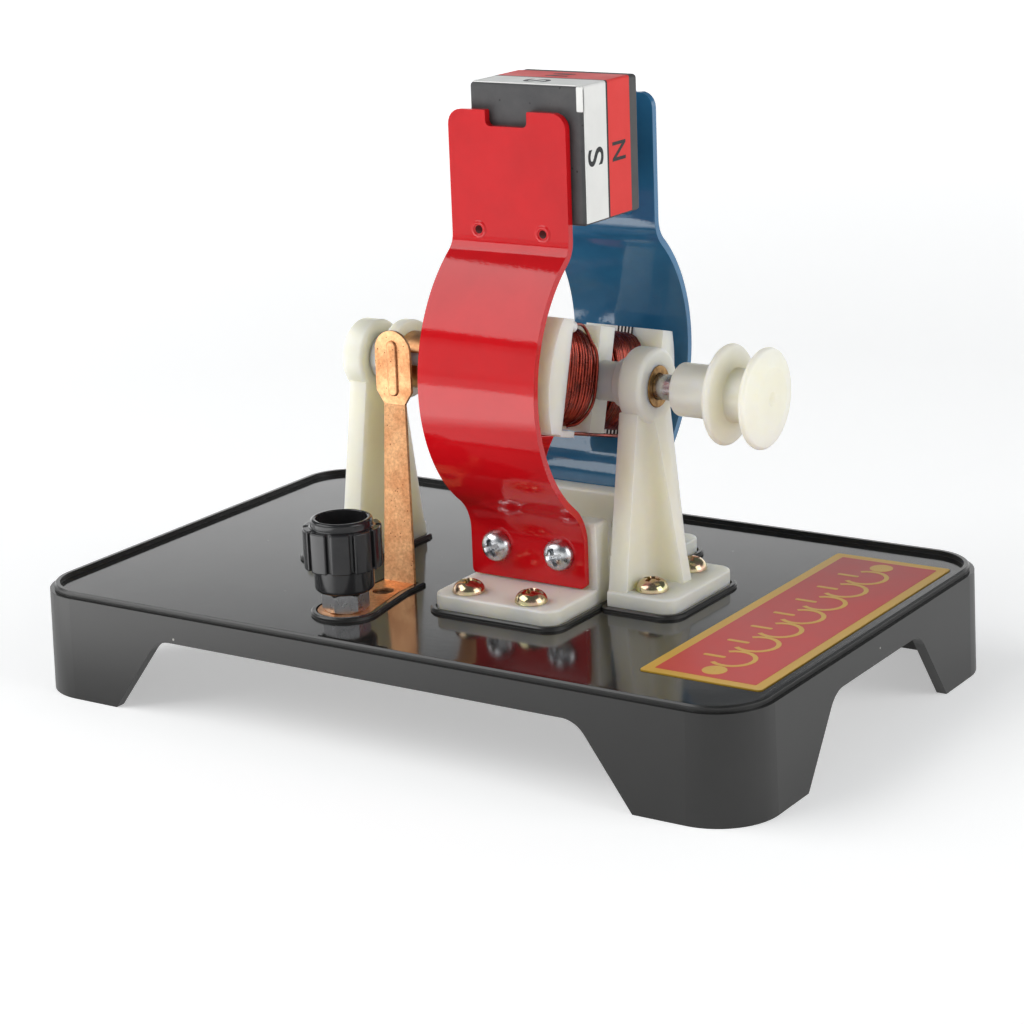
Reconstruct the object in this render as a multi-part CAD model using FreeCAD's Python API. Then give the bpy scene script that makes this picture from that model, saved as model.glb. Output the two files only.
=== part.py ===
import FreeCAD, Part
import math
import os

# Demonstration electric motor: a two-pole armature turns between two painted
# steel pole strips that carry the field of a block magnet held on top.
# Millimetres. X runs along the long side of the base, Y from the front (red
# pole) to the back (blue pole), Z up. The origin is the middle of the base's
# footprint, at the soles of its four legs.

Vec = FreeCAD.Vector

# ---- base moulding
base_length = 165.0
base_depth = 105.0
base_edge_height = 21.1
base_corner_radius = 11.5
base_flare = 0.55
base_wall = 2.2
deck_thickness = 2.2
deck_rise = 0.1
bead_inset = 0.95
bead_width = 1.15
bead_height = 1.15
leg_length_x = 23.0
leg_length_y = 23.6
apron_drop = 5.4
arch_lean = 11.6
arch_corner_radius = 6.0
ridge_width = 1.0
ridge_height = 0.8
crest_bevel_share = 0.3
pocket_gap = 0.35

# ---- the works' common lines
centre_y = 2.8
axis_height = 63.3
deck_top = base_edge_height + deck_rise

# ---- making: how far a cutter runs past what it cuts, and how deep a raised
# feature is rooted in the face that carries it
through = 1.0
sink = 0.3
moulded_edge = 0.5
rod_bevel = 0.4

# ---- bearing supports
support_inner_x = 29.4
left_support_inner_x = -30.6
foot_length = 14.5
foot_width = 25.0
foot_thickness = 3.6
foot_corner_radius = 3.0
upright_corner_radius = 0.5
upright_thickness = 4.0
upright_top_width = 12.4
upright_entry = 3.0
boss_radius = 7.4
boss_length = 5.2
boss_edge = 0.9
rib_thickness = 3.0
rib_reach = 10.8
rib_entry = 1.5
rib_blend = 3.0
foot_screw_x = 7.2
foot_screw_spread = 15.2

# ---- shaft and bearings
shaft_diameter = 5.0
shaft_left_x = -38.2
shaft_in_pulley = 13.0
running_clearance = 0.05
bush_diameter = 8.2
bush_stand = 0.2

# ---- pole bracket
bracket_left_x = -0.8
bracket_length_x = 28.0
bracket_foot_reach = 16.3
bracket_wall = 4.5
bracket_wall_edge = 0.8
bracket_sweep_gap = 1.8
bracket_corner_radius = 3.0
bracket_screw_reach = 12.0

# ---- pole strips
pole_left_x = -0.8
pole_width = 26.8
pole_thickness = 1.5
pole_foot_half_gap = 12.5
pole_head_half_gap = 14.6
pole_arc_radius = 27.0
pole_foot_gap = 0.2
pole_head_rise = 54.1
pole_low_bend = 5.0
pole_high_bend = 9.0
pole_corner_radius = 3.0
pole_foot_corner_radius = 1.0
notch_left = 8.5
notch_width = 9.2
notch_depth = 3.0
notch_corner_radius = 1.0
fixing_left = 6.1
fixing_spacing = 14.4
pole_screw_share = 0.575
stop_rise = 31.3
stop_radius = 1.5
stop_dent_radius = 0.8

# ---- magnet
magnet_length = 25.0
magnet_thickness = 20.0
magnet_height = 26.0
magnet_left_x = 3.2
magnet_gap = 0.2
magnet_edge = 0.5
label_thickness = 0.15
label_white_width = 8.7
label_red_width = 9.5

# ---- armature
armature_centre_x = 15.6
armature_rest_angle = -15.0
armature_radius = 23.5
flange_width = 18.0
flange_half_chord = 11.0
flange_inner_reach = 17.2
lamination_count = 5
lamination_thickness = 0.7
lamination_gap = 0.1
core_web_half_height = 4.6
former_wall = 1.0
hub_block_half_width = 6.4
hub_block_cover = 0.2
hub_block_half_height = 10.4
sleeve_diameter = 7.8
thrust_collar_diameter = 9.6
thrust_collar_length = 2.5
thrust_gap = 0.3
coil_half_width = 5.9
coil_half_height = 9.9
coil_corner_radius = 4.6
coil_turns = 10
coil_turn_bevel = 0.35
coil_end_gap = 0.1
enamel_wire_diameter = 0.7
crossing_wire_inset = 1.6
crossing_wire_spacing = 1.3
crossing_wire_gap = 0.05
holder_inset = 1.6
peg_radius = 1.1
peg_length = 2.4
peg_drop = 1.4
tab_width = 5.4
tab_length = 4.6
tab_thickness = 1.2
tab_below = 0.4

# ---- commutator
commutator_left_x = -23.2
commutator_right_x = -8.0
commutator_diameter = 11.5
segment_thickness = 1.2
segment_slot = 2.5
slot_depth = 0.5
commutator_gap = 0.6
disc_diameter = 16.0
disc_thickness = 2.6
disc_edge = 0.4
lead_wire_diameter = 0.8

# ---- pulley
pulley_left_x = 39.6
pulley_hub_diameter = 10.4
pulley_diameter = 19.5
pulley_groove_diameter = 10.4
flange_one_x = 50.0
flange_two_x = 57.7
pulley_rim_width = 1.6
pulley_rim_round = 0.8
pulley_cheek_width = 3.0
pulley_face_radius = 6.0
centre_dimple_radius = 1.4
centre_dimple_depth = 0.5

# ---- brushes
brush_thickness = 0.7
brush_foot_radius = 5.6
brush_bend_x = -16.0
brush_bend_y = -14.7
brush_base_width = 7.4
brush_parallel_length = 6.0
brush_neck_width = 5.1
brush_shoulder_height = 2.6
brush_pad_width = 8.5
brush_pad_height = 15.0
brush_pad_x = -21.7
brush_neck_z = 56.0
brush_disc_clearance = 0.3
brush_contact_clearance = 0.3
brush_bead_width = 2.4
brush_bead_length = 11.4
brush_bead_height = 0.5
bead_round_share = 0.8
spare_hole_diameter = 4.3
spare_hole_offset = 12.4

# ---- binding posts
post_x = -15.5
post_y = -34.0
stud_diameter = 5.0
stud_top = 33.4
post_nut_flats = 8.0
post_nut_height = 3.8
knob_seat_gap = 0.2
knob_height = 14.6
knob_body_diameter = 11.7
knob_body_height = 4.9
knob_rib_diameter = 15.4
knob_rib_height = 8.0
knob_core_diameter = 13.4
knob_rib_count = 10
knob_rib_share = 0.8
knob_ring_diameter = 12.2
knob_bevel = 0.6
knob_mouth_diameter = 10.1
knob_mouth_depth = 7.6
insert_diameter = 7.2

# ---- fasteners (M3 pan heads, M3 and M5 nuts and washers)
screw_diameter = 3.0
screw_hole_diameter = 3.4
screw_head_diameter = 6.0
screw_head_height = 2.3
small_nut_flats = 5.5
small_nut_height = 2.4
washer_thickness = 0.5
small_washer_diameter = 6.8
large_washer_diameter = 10.0
under_nut_height = 4.0
stud_hole_diameter = 5.4
thread_tail = 1.2
pole_screw_length = 6.0

# ---- nameplate
plate_margin = 4.6
plate_width = 25.0
plate_length = 80.0
plate_thickness = 0.6
plate_recess = 0.4
plate_shift = -0.4
plate_corner_radius = 0.8
plate_gap = 0.15


def save(name, *solids):
    shape = solids[0] if len(solids) == 1 else Part.makeCompound(list(solids))
    shape.exportStep("parts/" + name + ".step")


def fuse_all(solids):
    joined = solids[0]
    for solid in solids[1:]:
        joined = joined.fuse(solid)
    return joined.removeSplitter()


def cut_all(shape, tools):
    for tool in tools:
        shape = shape.cut(tool)
    return shape


def box(low, high):
    size = [high[i] - low[i] for i in range(3)]
    return Part.makeBox(size[0], size[1], size[2], Vec(*low))


def rod_x(diameter, left, right, y=0.0, z=0.0):
    return Part.makeCylinder(diameter / 2, right - left, Vec(left, y, z), Vec(1, 0, 0))


def rod_z(diameter, bottom, top, x=0.0, y=0.0):
    return Part.makeCylinder(diameter / 2, top - bottom, Vec(x, y, bottom), Vec(0, 0, 1))


def polygon_prism(points, along):
    """Straight prism over a closed outline of points."""
    outline = Part.makePolygon([Vec(*p) for p in points] + [Vec(*points[0])])
    return Part.Face(outline).extrude(Vec(*along))


def rounded_rectangle(length, depth, radius, z, centre=(0.0, 0.0)):
    """Closed wire of four lines and four quarter arcs at height z."""
    arcs = []
    for start, side_x, side_y in ((0, 1, 1), (90, -1, 1), (180, -1, -1), (270, 1, -1)):
        mid_x = centre[0] + side_x * (length / 2 - radius)
        mid_y = centre[1] + side_y * (depth / 2 - radius)
        turns = [math.radians(start + step) for step in (0, 45, 90)]
        corner = [(mid_x + radius * math.cos(a), mid_y + radius * math.sin(a)) for a in turns]
        arcs.append([Vec(x, y, z) for x, y in corner])
    edges = []
    for index, arc in enumerate(arcs):
        edges.append(Part.Arc(*arc).toShape())
        edges.append(Part.LineSegment(arc[2], arcs[(index + 1) % 4][0]).toShape())
    return Part.Wire(edges)


def rounded_plate(length, depth, radius, bottom, top, centre=(0.0, 0.0)):
    outline = rounded_rectangle(length, depth, radius, bottom, centre)
    return Part.Face(outline).extrude(Vec(0, 0, top - bottom))


def edges_at(shape, axis, value, parallel=None):
    """Edges lying in the plane axis = value, or parallel to another axis there."""
    found = []
    for edge in shape.Edges:
        bounds = edge.BoundBox
        low = (bounds.XMin, bounds.YMin, bounds.ZMin)
        high = (bounds.XMax, bounds.YMax, bounds.ZMax)
        spans = [high[i] - low[i] for i in range(3)]
        if abs(low[axis] - value) > 0.01 or abs(high[axis] - value) > 0.01:
            continue
        if parallel is None or all(spans[i] < 0.01 for i in range(3) if i != parallel):
            found.append(edge)
    return found


def hexagon(flats, bottom, top, x=0.0, y=0.0, hole=0.0):
    """Hexagonal nut blank with its flats facing +-Y."""
    reach = flats / math.sqrt(3)
    turns = [math.radians(60 * i) for i in range(6)]
    points = [(x + reach * math.cos(a), y + reach * math.sin(a), bottom) for a in turns]
    blank = polygon_prism(points, (0, 0, top - bottom))
    return blank.cut(rod_z(hole, bottom - through, top + through, x, y))


def pan_screw(length):
    """Pan-headed screw: the domed head stands on z = 0 and the shank goes down."""
    rim = screw_head_diameter / 2
    dome_radius = (rim**2 + screw_head_height**2) / (2 * screw_head_height)
    dome = Part.makeSphere(dome_radius, Vec(0, 0, screw_head_height - dome_radius))
    head = dome.common(rod_z(2 * screw_head_diameter, 0, screw_head_height + through))
    return head.fuse(rod_z(screw_diameter, -length, 0)).removeSplitter()


def mirror_y(shape):
    """The same piece on the other side of the works' centre plane."""
    return shape.mirror(Vec(0, centre_y, 0), Vec(0, 1, 0))


# ---- where the fasteners go


def support_screw_places():
    places = []
    for inner_x, outward in ((support_inner_x, 1), (left_support_inner_x, -1)):
        for side in (-1, 1):
            x = inner_x + outward * foot_screw_x
            places.append((x, centre_y + side * foot_screw_spread / 2))
    return places


def fixing_xs():
    first = pole_left_x + fixing_left
    return [first, first + fixing_spacing]


def bracket_half_depth():
    return pole_foot_half_gap + bracket_foot_reach


def bracket_top():
    """The walls end just below the circle that the armature sweeps."""
    return axis_height - armature_radius - bracket_sweep_gap


def bracket_screw_places():
    reach = pole_foot_half_gap + bracket_screw_reach
    return [(x, centre_y + side * reach) for x in fixing_xs() for side in (-1, 1)]


def foot_screw_places():
    return support_screw_places() + bracket_screw_places()


def post_places():
    return [(post_x, post_y), (post_x, 2 * centre_y - post_y)]


# ---- base


def tray_outline(inset, z):
    """The tray's outline at one height, drawn in by inset from its outer faces."""
    spread = base_flare * (1 - z / base_edge_height) - inset
    length, depth = base_length + 2 * spread, base_depth + 2 * spread
    return rounded_rectangle(length, depth, base_corner_radius + spread, z)


def base_shell():
    """Tray with walls that spread a little towards the soles, open below."""
    ceiling = deck_top - deck_thickness
    outer = Part.makeLoft([tray_outline(0, 0), tray_outline(0, base_edge_height)], True, True)
    inner = Part.makeLoft([tray_outline(base_wall, -through), tray_outline(base_wall, ceiling)], True, True)
    return outer.cut(inner)


def rim_bead():
    """Raised bead round the deck's edge."""
    length, depth = base_length - 2 * bead_inset, base_depth - 2 * bead_inset
    radius = base_corner_radius - bead_inset
    low, high = base_edge_height - sink, base_edge_height + bead_height
    crest = rounded_plate(length, depth, radius, low, high)
    crest = crest.makeChamfer(bead_width * crest_bevel_share, edges_at(crest, 2, high))
    inner_length, inner_depth = length - 2 * bead_width, depth - 2 * bead_width
    return crest.cut(rounded_plate(inner_length, inner_depth, radius - bead_width, deck_top, high + through))


def leg_arches():
    """Cutters that leave four legs joined by a shallow apron."""
    top = base_edge_height - apron_drop
    slope = arch_lean / top
    sides = ((0, base_length, leg_length_x, base_depth), (1, base_depth, leg_length_y, base_length))
    cutters = []
    for axis, span, leg, reach in sides:
        half_gap = span / 2 + base_flare - leg
        outline = [
            (-half_gap - slope * through, -through),
            (half_gap + slope * through, -through),
            (half_gap - arch_lean, top),
            (arch_lean - half_gap, top),
        ]
        half_reach = reach / 2 + base_flare + through
        if axis == 0:
            points = [(u, -half_reach, z) for u, z in outline]
            cutter = polygon_prism(points, (0, 2 * half_reach, 0))
        else:
            points = [(-half_reach, u, z) for u, z in outline]
            cutter = polygon_prism(points, (2 * half_reach, 0, 0))
        cutters.append(cutter.makeFillet(arch_corner_radius, edges_at(cutter, 2, top, 1 - axis)))
    return cutters


def ridge(length, depth, radius, centre):
    """Rounded rib that frames a pocket on the deck."""
    low, high = deck_top - sink, deck_top + ridge_height
    spread = pocket_gap + ridge_width
    outer = rounded_plate(length + 2 * spread, depth + 2 * spread, radius + spread, low, high, centre)
    outer = outer.makeChamfer(ridge_width * crest_bevel_share, edges_at(outer, 2, high))
    return outer.cut(pocket(length, depth, radius, centre))


def pocket(length, depth, radius, centre):
    """The room that a foot and its clearance take above the deck."""
    room_length, room_depth = length + 2 * pocket_gap, depth + 2 * pocket_gap
    high = deck_top + ridge_height + through
    return rounded_plate(room_length, room_depth, radius + pocket_gap, deck_top, high, centre)


def brush_pocket_ridge():
    """Teardrop ridge round a brush foot, open towards the works."""
    low, high = deck_top - sink, deck_top + ridge_height
    outer = brush_foot_plate(pocket_gap + ridge_width, low, high)
    outer = outer.makeChamfer(ridge_width * crest_bevel_share, edges_at(outer, 2, high))
    return outer.cut(brush_foot_plate(pocket_gap, low - through, high + through))


def foot_footprints():
    """Length, depth, corner radius and middle of each pocket under the works.

    A support's foot is round at its outer corners and square under the upright,
    so its pocket is made of two.
    """
    middle = (bracket_left_x + bracket_length_x / 2, centre_y)
    feet = [(bracket_length_x, 2 * bracket_half_depth(), bracket_corner_radius, middle)]
    for inner_x, outward in ((support_inner_x, 1), (left_support_inner_x, -1)):
        for length, radius in ((foot_length, foot_corner_radius), (foot_length / 2, upright_corner_radius)):
            feet.append((length, foot_width, radius, (inner_x + outward * length / 2, centre_y)))
    return feet


def base_moulding():
    inset = bead_inset + bead_width / 2
    deck_low = base_edge_height - 2 * sink
    length, depth = base_length - 2 * inset, base_depth - 2 * inset
    deck = rounded_plate(length, depth, base_corner_radius - inset, deck_low, deck_top)
    ridges = [ridge(*foot) for foot in foot_footprints()]
    ridges += [brush_pocket_ridge(), mirror_y(brush_pocket_ridge())]
    shape = fuse_all([base_shell(), deck, rim_bead()] + ridges)
    shape = cut_all(shape, leg_arches() + [pocket(*foot) for foot in foot_footprints()])
    top = deck_top + ridge_height + through
    holes = [rod_z(screw_hole_diameter, 0, top, x, y) for x, y in foot_screw_places()]
    holes += [rod_z(stud_hole_diameter, 0, top, x, y) for x, y in post_places()]
    recess = plate_solid(deck_top - plate_recess, top, plate_gap)
    return cut_all(shape, holes + [recess])


def plate_solid(bottom, top, extra=0.0):
    centre = (base_length / 2 - plate_margin - plate_width / 2, centre_y + plate_shift)
    width, length = plate_width + 2 * extra, plate_length + 2 * extra
    return rounded_plate(width, length, plate_corner_radius + extra, bottom, top, centre)


# ---- bearing supports


def support_foot():
    foot_top = deck_top + foot_thickness
    foot = box((0, -foot_width / 2, deck_top), (foot_length, foot_width / 2, foot_top))
    corners = [e for e in edges_at(foot, 0, foot_length) if e.BoundBox.ZLength > 1]
    foot = foot.makeFillet(foot_corner_radius, corners)
    rim = [e for e in edges_at(foot, 2, foot_top) if e.CenterOfMass.x > 0.1]
    return foot.makeFillet(moulded_edge, rim)


def support_rib():
    """Triangular rib behind the upright, blended into it on both sides."""
    foot_top = deck_top + foot_thickness
    foot_low = deck_top + foot_thickness / 2
    rib_top = axis_height - boss_radius + rib_entry
    inner_x = upright_thickness / 2
    profile = [(inner_x, foot_low), (rib_reach, foot_low), (rib_reach, foot_top)]
    profile += [(boss_length, rib_top), (inner_x, rib_top)]
    half = rib_thickness / 2 + rib_blend
    rib = polygon_prism([(x, -half, z) for x, z in profile], (0, 2 * half, 0))
    for side in (-1, 1):
        mid_x, mid_y = upright_thickness + rib_blend, side * half
        rib = rib.cut(rod_z(2 * rib_blend, deck_top, axis_height, mid_x, mid_y))
        near, far = sorted((side * rib_thickness / 2, side * (half + through)))
        rib = rib.cut(box((mid_x, near, deck_top), (rib_reach + through, far, axis_height)))
    return rib


def support_solid():
    """Foot, tapering upright, rib and bearing boss; x = 0 is the face towards the armature."""
    half_top = upright_top_width / 2
    shoulder = axis_height - boss_radius + upright_entry
    outline = [(-foot_width / 2, deck_top), (foot_width / 2, deck_top)]
    outline += [(half_top, shoulder), (-half_top, shoulder)]
    upright = polygon_prism([(0, y, z) for y, z in outline], (upright_thickness, 0, 0))
    boss = rod_x(2 * boss_radius, 0, boss_length, 0, axis_height)
    boss = boss.makeFillet(boss_edge, edges_at(boss, 0, boss_length) + edges_at(boss, 0, 0))
    shape = fuse_all([support_foot(), upright, support_rib(), boss])
    holes = [rod_x(bush_diameter, -through, boss_length + through, 0, axis_height)]
    low, high = deck_top - through, deck_top + foot_thickness + through
    for side in (-1, 1):
        holes.append(rod_z(screw_hole_diameter, low, high, foot_screw_x, side * foot_screw_spread / 2))
    return cut_all(shape, holes)


def bush_solid():
    length = boss_length + bush_stand
    bore = shaft_diameter + 2 * running_clearance
    bush = rod_x(bush_diameter, 0, length, 0, axis_height)
    return bush.cut(rod_x(bore, -through, length + through, 0, axis_height))


def at_right(shape):
    return shape.translated(Vec(support_inner_x, centre_y, 0))


def at_left(shape):
    mirrored = shape.mirror(Vec(0, 0, 0), Vec(1, 0, 0))
    return mirrored.translated(Vec(left_support_inner_x, centre_y, 0))


# ---- pole bracket and pole strips


def pole_bracket():
    """Foot plate with two upright walls that the pole strips are screwed to."""
    foot_top = deck_top + foot_thickness
    half_depth = bracket_half_depth()
    middle = (bracket_left_x + bracket_length_x / 2, centre_y)
    foot = rounded_plate(bracket_length_x, 2 * half_depth, bracket_corner_radius, deck_top, foot_top, middle)
    foot = foot.makeFillet(moulded_edge, edges_at(foot, 2, foot_top))
    right_x = bracket_left_x + bracket_length_x
    wall_low = deck_top + foot_thickness / 2
    walls = []
    for side in (-1, 1):
        near, far = sorted((side * (pole_foot_half_gap - bracket_wall), side * pole_foot_half_gap))
        wall = box((bracket_left_x, centre_y + near, wall_low), (right_x, centre_y + far, bracket_top()))
        walls.append(wall.makeFillet(bracket_wall_edge, edges_at(wall, 2, bracket_top())))
    shape = fuse_all([foot] + walls)
    low, high = deck_top - through, foot_top + through
    holes = [rod_z(screw_hole_diameter, low, high, x, y) for x, y in bracket_screw_places()]
    reach = pole_foot_half_gap + through
    for x in fixing_xs():
        holes.append(rod_y(screw_diameter, -reach, reach, x, pole_screw_z()))
    return cut_all(shape, holes)


def rod_y(diameter, front, back, x, z):
    return Part.makeCylinder(diameter / 2, back - front, Vec(x, centre_y + front, z), Vec(0, 1, 0))


def pole_head_z():
    return axis_height + pole_head_rise


def stop_z():
    return axis_height + stop_rise


def bend_middle(half_gap, bend):
    """How far out and how far from the axis a bend that meets the waist's arc is centred."""
    mid_y = half_gap + pole_thickness / 2 + bend
    reach = pole_arc_radius + pole_thickness / 2 + bend
    return mid_y, math.sqrt(reach**2 - mid_y**2)


def pole_screw_z():
    """Between the bracket's foot and the start of the strip's lower bend."""
    foot_top = deck_top + foot_thickness
    bend_start = axis_height - bend_middle(pole_foot_half_gap, pole_low_bend)[1]
    return foot_top + pole_screw_share * (bend_start - foot_top)


def pole_edges(offset):
    """One skin of the pole strip, offset outwards from its middle line."""
    foot_z = deck_top + foot_thickness + pole_foot_gap
    bends = []
    for half_gap, bend, sign in (
        (pole_foot_half_gap, pole_low_bend, -1),
        (pole_head_half_gap, pole_high_bend, 1),
    ):
        mid_y, rise = bend_middle(half_gap, bend)
        bends.append((mid_y, axis_height + sign * rise, bend - offset, sign))
    points = []
    for mid_y, mid_z, radius, sign in bends:
        toward = math.atan2(axis_height - mid_z, -mid_y)
        straight = -math.pi * sign
        turn = math.remainder(toward - straight, 2 * math.pi)
        angles = (straight, straight + turn / 2, toward)
        points.append([Vec(0, mid_y + radius * math.cos(a), mid_z + radius * math.sin(a)) for a in angles])
    low, high = points
    foot = Vec(0, low[0].y, foot_z)
    head = Vec(0, high[0].y, pole_head_z())
    waist = Vec(0, pole_arc_radius + pole_thickness / 2 + offset, axis_height)
    return [
        Part.LineSegment(foot, low[0]).toShape(),
        Part.Arc(*low).toShape(),
        Part.Arc(low[2], waist, high[2]).toShape(),
        Part.Arc(*high[::-1]).toShape(),
        Part.LineSegment(high[0], head).toShape(),
    ]


def pole_strip():
    """Back pole: a bent strip with a notched head, two magnet stops and two screw holes."""
    outer, inner = pole_edges(pole_thickness / 2), pole_edges(-pole_thickness / 2)
    ends = []
    for index in (0, -1):
        ends.append(Part.LineSegment(end_point(inner, index), end_point(outer, index)).toShape())
    outline = Part.Wire(Part.__sortEdges__(outer + inner + ends))
    strip = Part.Face(outline).extrude(Vec(pole_width, 0, 0)).translated(Vec(pole_left_x, centre_y, 0))
    foot_z = deck_top + foot_thickness + pole_foot_gap
    strip = strip.makeFillet(pole_corner_radius, side_corners(strip, pole_head_z()))
    strip = strip.makeFillet(pole_foot_corner_radius, side_corners(strip, foot_z))
    inner_y = centre_y + pole_head_half_gap
    outer_y = inner_y + pole_thickness
    notch_x, notch_z = pole_left_x + notch_left, pole_head_z() - notch_depth
    notch_end = (notch_x + notch_width, outer_y + through, pole_head_z() + through)
    notch = box((notch_x, inner_y - through, notch_z), notch_end)
    strip = strip.cut(notch.makeFillet(notch_corner_radius, edges_at(notch, 2, notch_z, 1)))
    hole_near = pole_foot_half_gap - through
    hole_far = pole_foot_half_gap + pole_thickness + through
    for x in fixing_xs():
        strip = strip.fuse(Part.makeSphere(stop_radius, Vec(x, inner_y, stop_z())))
        strip = strip.cut(Part.makeSphere(stop_dent_radius, Vec(x, outer_y, stop_z())))
        strip = strip.cut(rod_y(screw_hole_diameter, hole_near, hole_far, x, pole_screw_z()))
    return strip


def end_point(edges, index):
    return edges[index].Vertexes[index].Point


def side_corners(strip, z):
    """The two edges across the strip's thickness at one end."""
    return [e for e in edges_at(strip, 2, z) if e.BoundBox.XLength < 0.01]


def pole_screws():
    screws = []
    for x in fixing_xs():
        back = pan_screw(pole_screw_length)
        back.rotate(Vec(0, 0, 0), Vec(1, 0, 0), -90)
        seat_y = centre_y + pole_foot_half_gap + pole_thickness
        back = back.translated(Vec(x, seat_y, pole_screw_z()))
        screws += [back, mirror_y(back)]
    return screws


# ---- magnet


def magnet_front_y():
    return centre_y - pole_head_half_gap + magnet_gap


def magnet_low_z():
    return stop_z() + stop_radius + magnet_gap


def magnet_block():
    front, low = magnet_front_y(), magnet_low_z()
    high = low + magnet_height
    right = magnet_left_x + magnet_length
    block = box((magnet_left_x, front, low), (right, front + magnet_thickness, high))
    return block.makeChamfer(magnet_edge, block.Edges)


def magnet_label():
    """Printed strip that wraps over the top and down the right-hand face."""
    front, low = magnet_front_y() + magnet_edge, magnet_low_z()
    right, high = magnet_left_x + magnet_length, low + magnet_height
    width = label_white_width + label_red_width - magnet_edge
    top = box((magnet_left_x + magnet_edge, front, high), (right, front + width, high + label_thickness))
    side = box((right, front, low + magnet_edge), (right + label_thickness, front + width, high))
    corner = box((right, front, high), (right + label_thickness, front + width, high + label_thickness))
    under_corner = box((right - magnet_edge, front, high - magnet_edge), (right, front + width, high))
    return fuse_all([top, side, corner, under_corner.cut(magnet_block())])


# ---- armature


def turned(shape):
    """Brings a piece drawn with its arms along Y into its rest position."""
    shape = shape.copy()
    shape.rotate(Vec(0, 0, 0), Vec(1, 0, 0), armature_rest_angle)
    return shape.translated(Vec(0, centre_y, axis_height))


def core_outline_prism(left, right):
    """I-shaped iron: a web through both coils and a curved shoe at each end."""
    shape = shoe_band(left, right)
    for low, high in ((core_web_half_height, armature_radius), (-armature_radius, -core_web_half_height)):
        start = (left - through, -flange_inner_reach, low)
        shape = shape.cut(box(start, (right + through, flange_inner_reach, high)))
    return shape


def shoe_band(left, right):
    """Slice of the armature's cylinder between the two chords that bound the shoes."""
    reach = armature_radius + through
    band = box((left - through, -reach, -flange_half_chord), (right + through, reach, flange_half_chord))
    return rod_x(2 * armature_radius, left, right).common(band)


def coil_tube(reach):
    """Outside of the rectangular tube that each coil is wound on."""
    half = core_web_half_height + former_wall
    left = stack_left_x() - former_wall
    return box((left, -reach, -half), (2 * armature_centre_x - left, reach, half))


def stack_left_x():
    pitch = lamination_thickness + lamination_gap
    return armature_centre_x - (lamination_count * pitch - lamination_gap) / 2


def laminations():
    pitch = lamination_thickness + lamination_gap
    sheets = []
    for index in range(lamination_count):
        left = stack_left_x() + index * pitch
        right = left + lamination_thickness
        bore = rod_x(shaft_diameter, left - through, right + through)
        sheets.append(turned(core_outline_prism(left, right).cut(bore)))
    return sheets


def hub_block_half_thickness():
    return shaft_diameter / 2 + hub_block_cover


def former():
    """White moulding on the iron: end flanges, coil tubes, hub block and sleeves."""
    flange_left, flange_right = armature_centre_x - flange_width / 2, armature_centre_x + flange_width / 2
    between = box(
        (flange_left - through, -flange_inner_reach, -armature_radius),
        (flange_right + through, flange_inner_reach, armature_radius),
    )
    flanges = shoe_band(flange_left, flange_right).cut(between)
    block_left = armature_centre_x - hub_block_half_width
    block_right = armature_centre_x + hub_block_half_width
    half = hub_block_half_thickness()
    block_start = (block_left, -half, -hub_block_half_height)
    block = box(block_start, (block_right, half, hub_block_half_height))
    collar_right = support_inner_x - thrust_gap
    collar_left = collar_right - thrust_collar_length
    sleeve_left = commutator_right_x + commutator_gap
    left_sleeve = rod_x(sleeve_diameter, sleeve_left, block_left)
    right_sleeve = rod_x(sleeve_diameter, block_right, collar_left)
    collar = thrust_collar(collar_left, collar_right)
    tube = coil_tube(flange_inner_reach)
    shape = fuse_all([block, left_sleeve, right_sleeve, tube, collar, flanges] + wire_holders())
    stack_left = stack_left_x()
    shape = shape.cut(core_outline_prism(stack_left, 2 * armature_centre_x - stack_left))
    return turned(shape.cut(rod_x(shaft_diameter, sleeve_left - through, collar_right + through)))


def thrust_collar(left, right):
    collar = rod_x(thrust_collar_diameter, left, right)
    return collar.makeFillet(moulded_edge, edges_at(collar, 0, left) + edges_at(collar, 0, right))


def wire_holders():
    """Peg above the front coil and the tab below it that holds the crossing wires."""
    right = armature_centre_x + flange_width / 2
    peg_x = right - holder_inset
    seat_y = -flange_inner_reach - sink
    peg_z = flange_half_chord - peg_drop
    peg = Part.makeCylinder(peg_radius, peg_length + sink, Vec(peg_x, seat_y, peg_z), Vec(0, 1, 0))
    low = -flange_half_chord - tab_below
    tab_start = (right - tab_width, seat_y, low)
    tab_end = (right, seat_y + sink + tab_length, low + tab_thickness)
    return [peg, box(tab_start, tab_end)]


def coil(side):
    """One winding: rounded turns side by side from the hub block to the flange."""
    near, far = hub_block_half_thickness() + coil_end_gap, flange_inner_reach - coil_end_gap
    pitch = (far - near) / coil_turns
    turns = []
    for index in range(coil_turns):
        start = near + index * pitch
        turn = rounded_plate(2 * coil_half_width, 2 * coil_half_height, coil_corner_radius, 0, pitch)
        rims = edges_at(turn, 2, 0) + edges_at(turn, 2, pitch)
        turn = turn.makeChamfer(coil_turn_bevel, rims)
        turn.rotate(Vec(0, 0, 0), Vec(1, 0, 0), -90)
        turns.append(turn.translated(Vec(armature_centre_x, start, 0)))
    winding = turns[0]
    for turn in turns[1:]:
        winding = winding.fuse(turn)
    winding = winding.cut(coil_tube(flange_inner_reach))
    if side < 0:
        winding = winding.mirror(Vec(0, 0, 0), Vec(0, 1, 0))
    return turned(winding)


def crossing_wires():
    """Two enamelled wires that pass under the hub block from coil to coil."""
    first_x = armature_centre_x + coil_half_width - crossing_wire_inset
    radius = enamel_wire_diameter / 2
    z = -hub_block_half_height - radius - crossing_wire_gap
    start_y = -flange_inner_reach + tab_length + crossing_wire_gap
    length = -2 * start_y
    wires = []
    for index in range(2):
        start = Vec(first_x + index * crossing_wire_spacing, start_y, z)
        wires.append(turned(Part.makeCylinder(radius, length, start, Vec(0, 1, 0))))
    return wires


# ---- commutator


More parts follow.
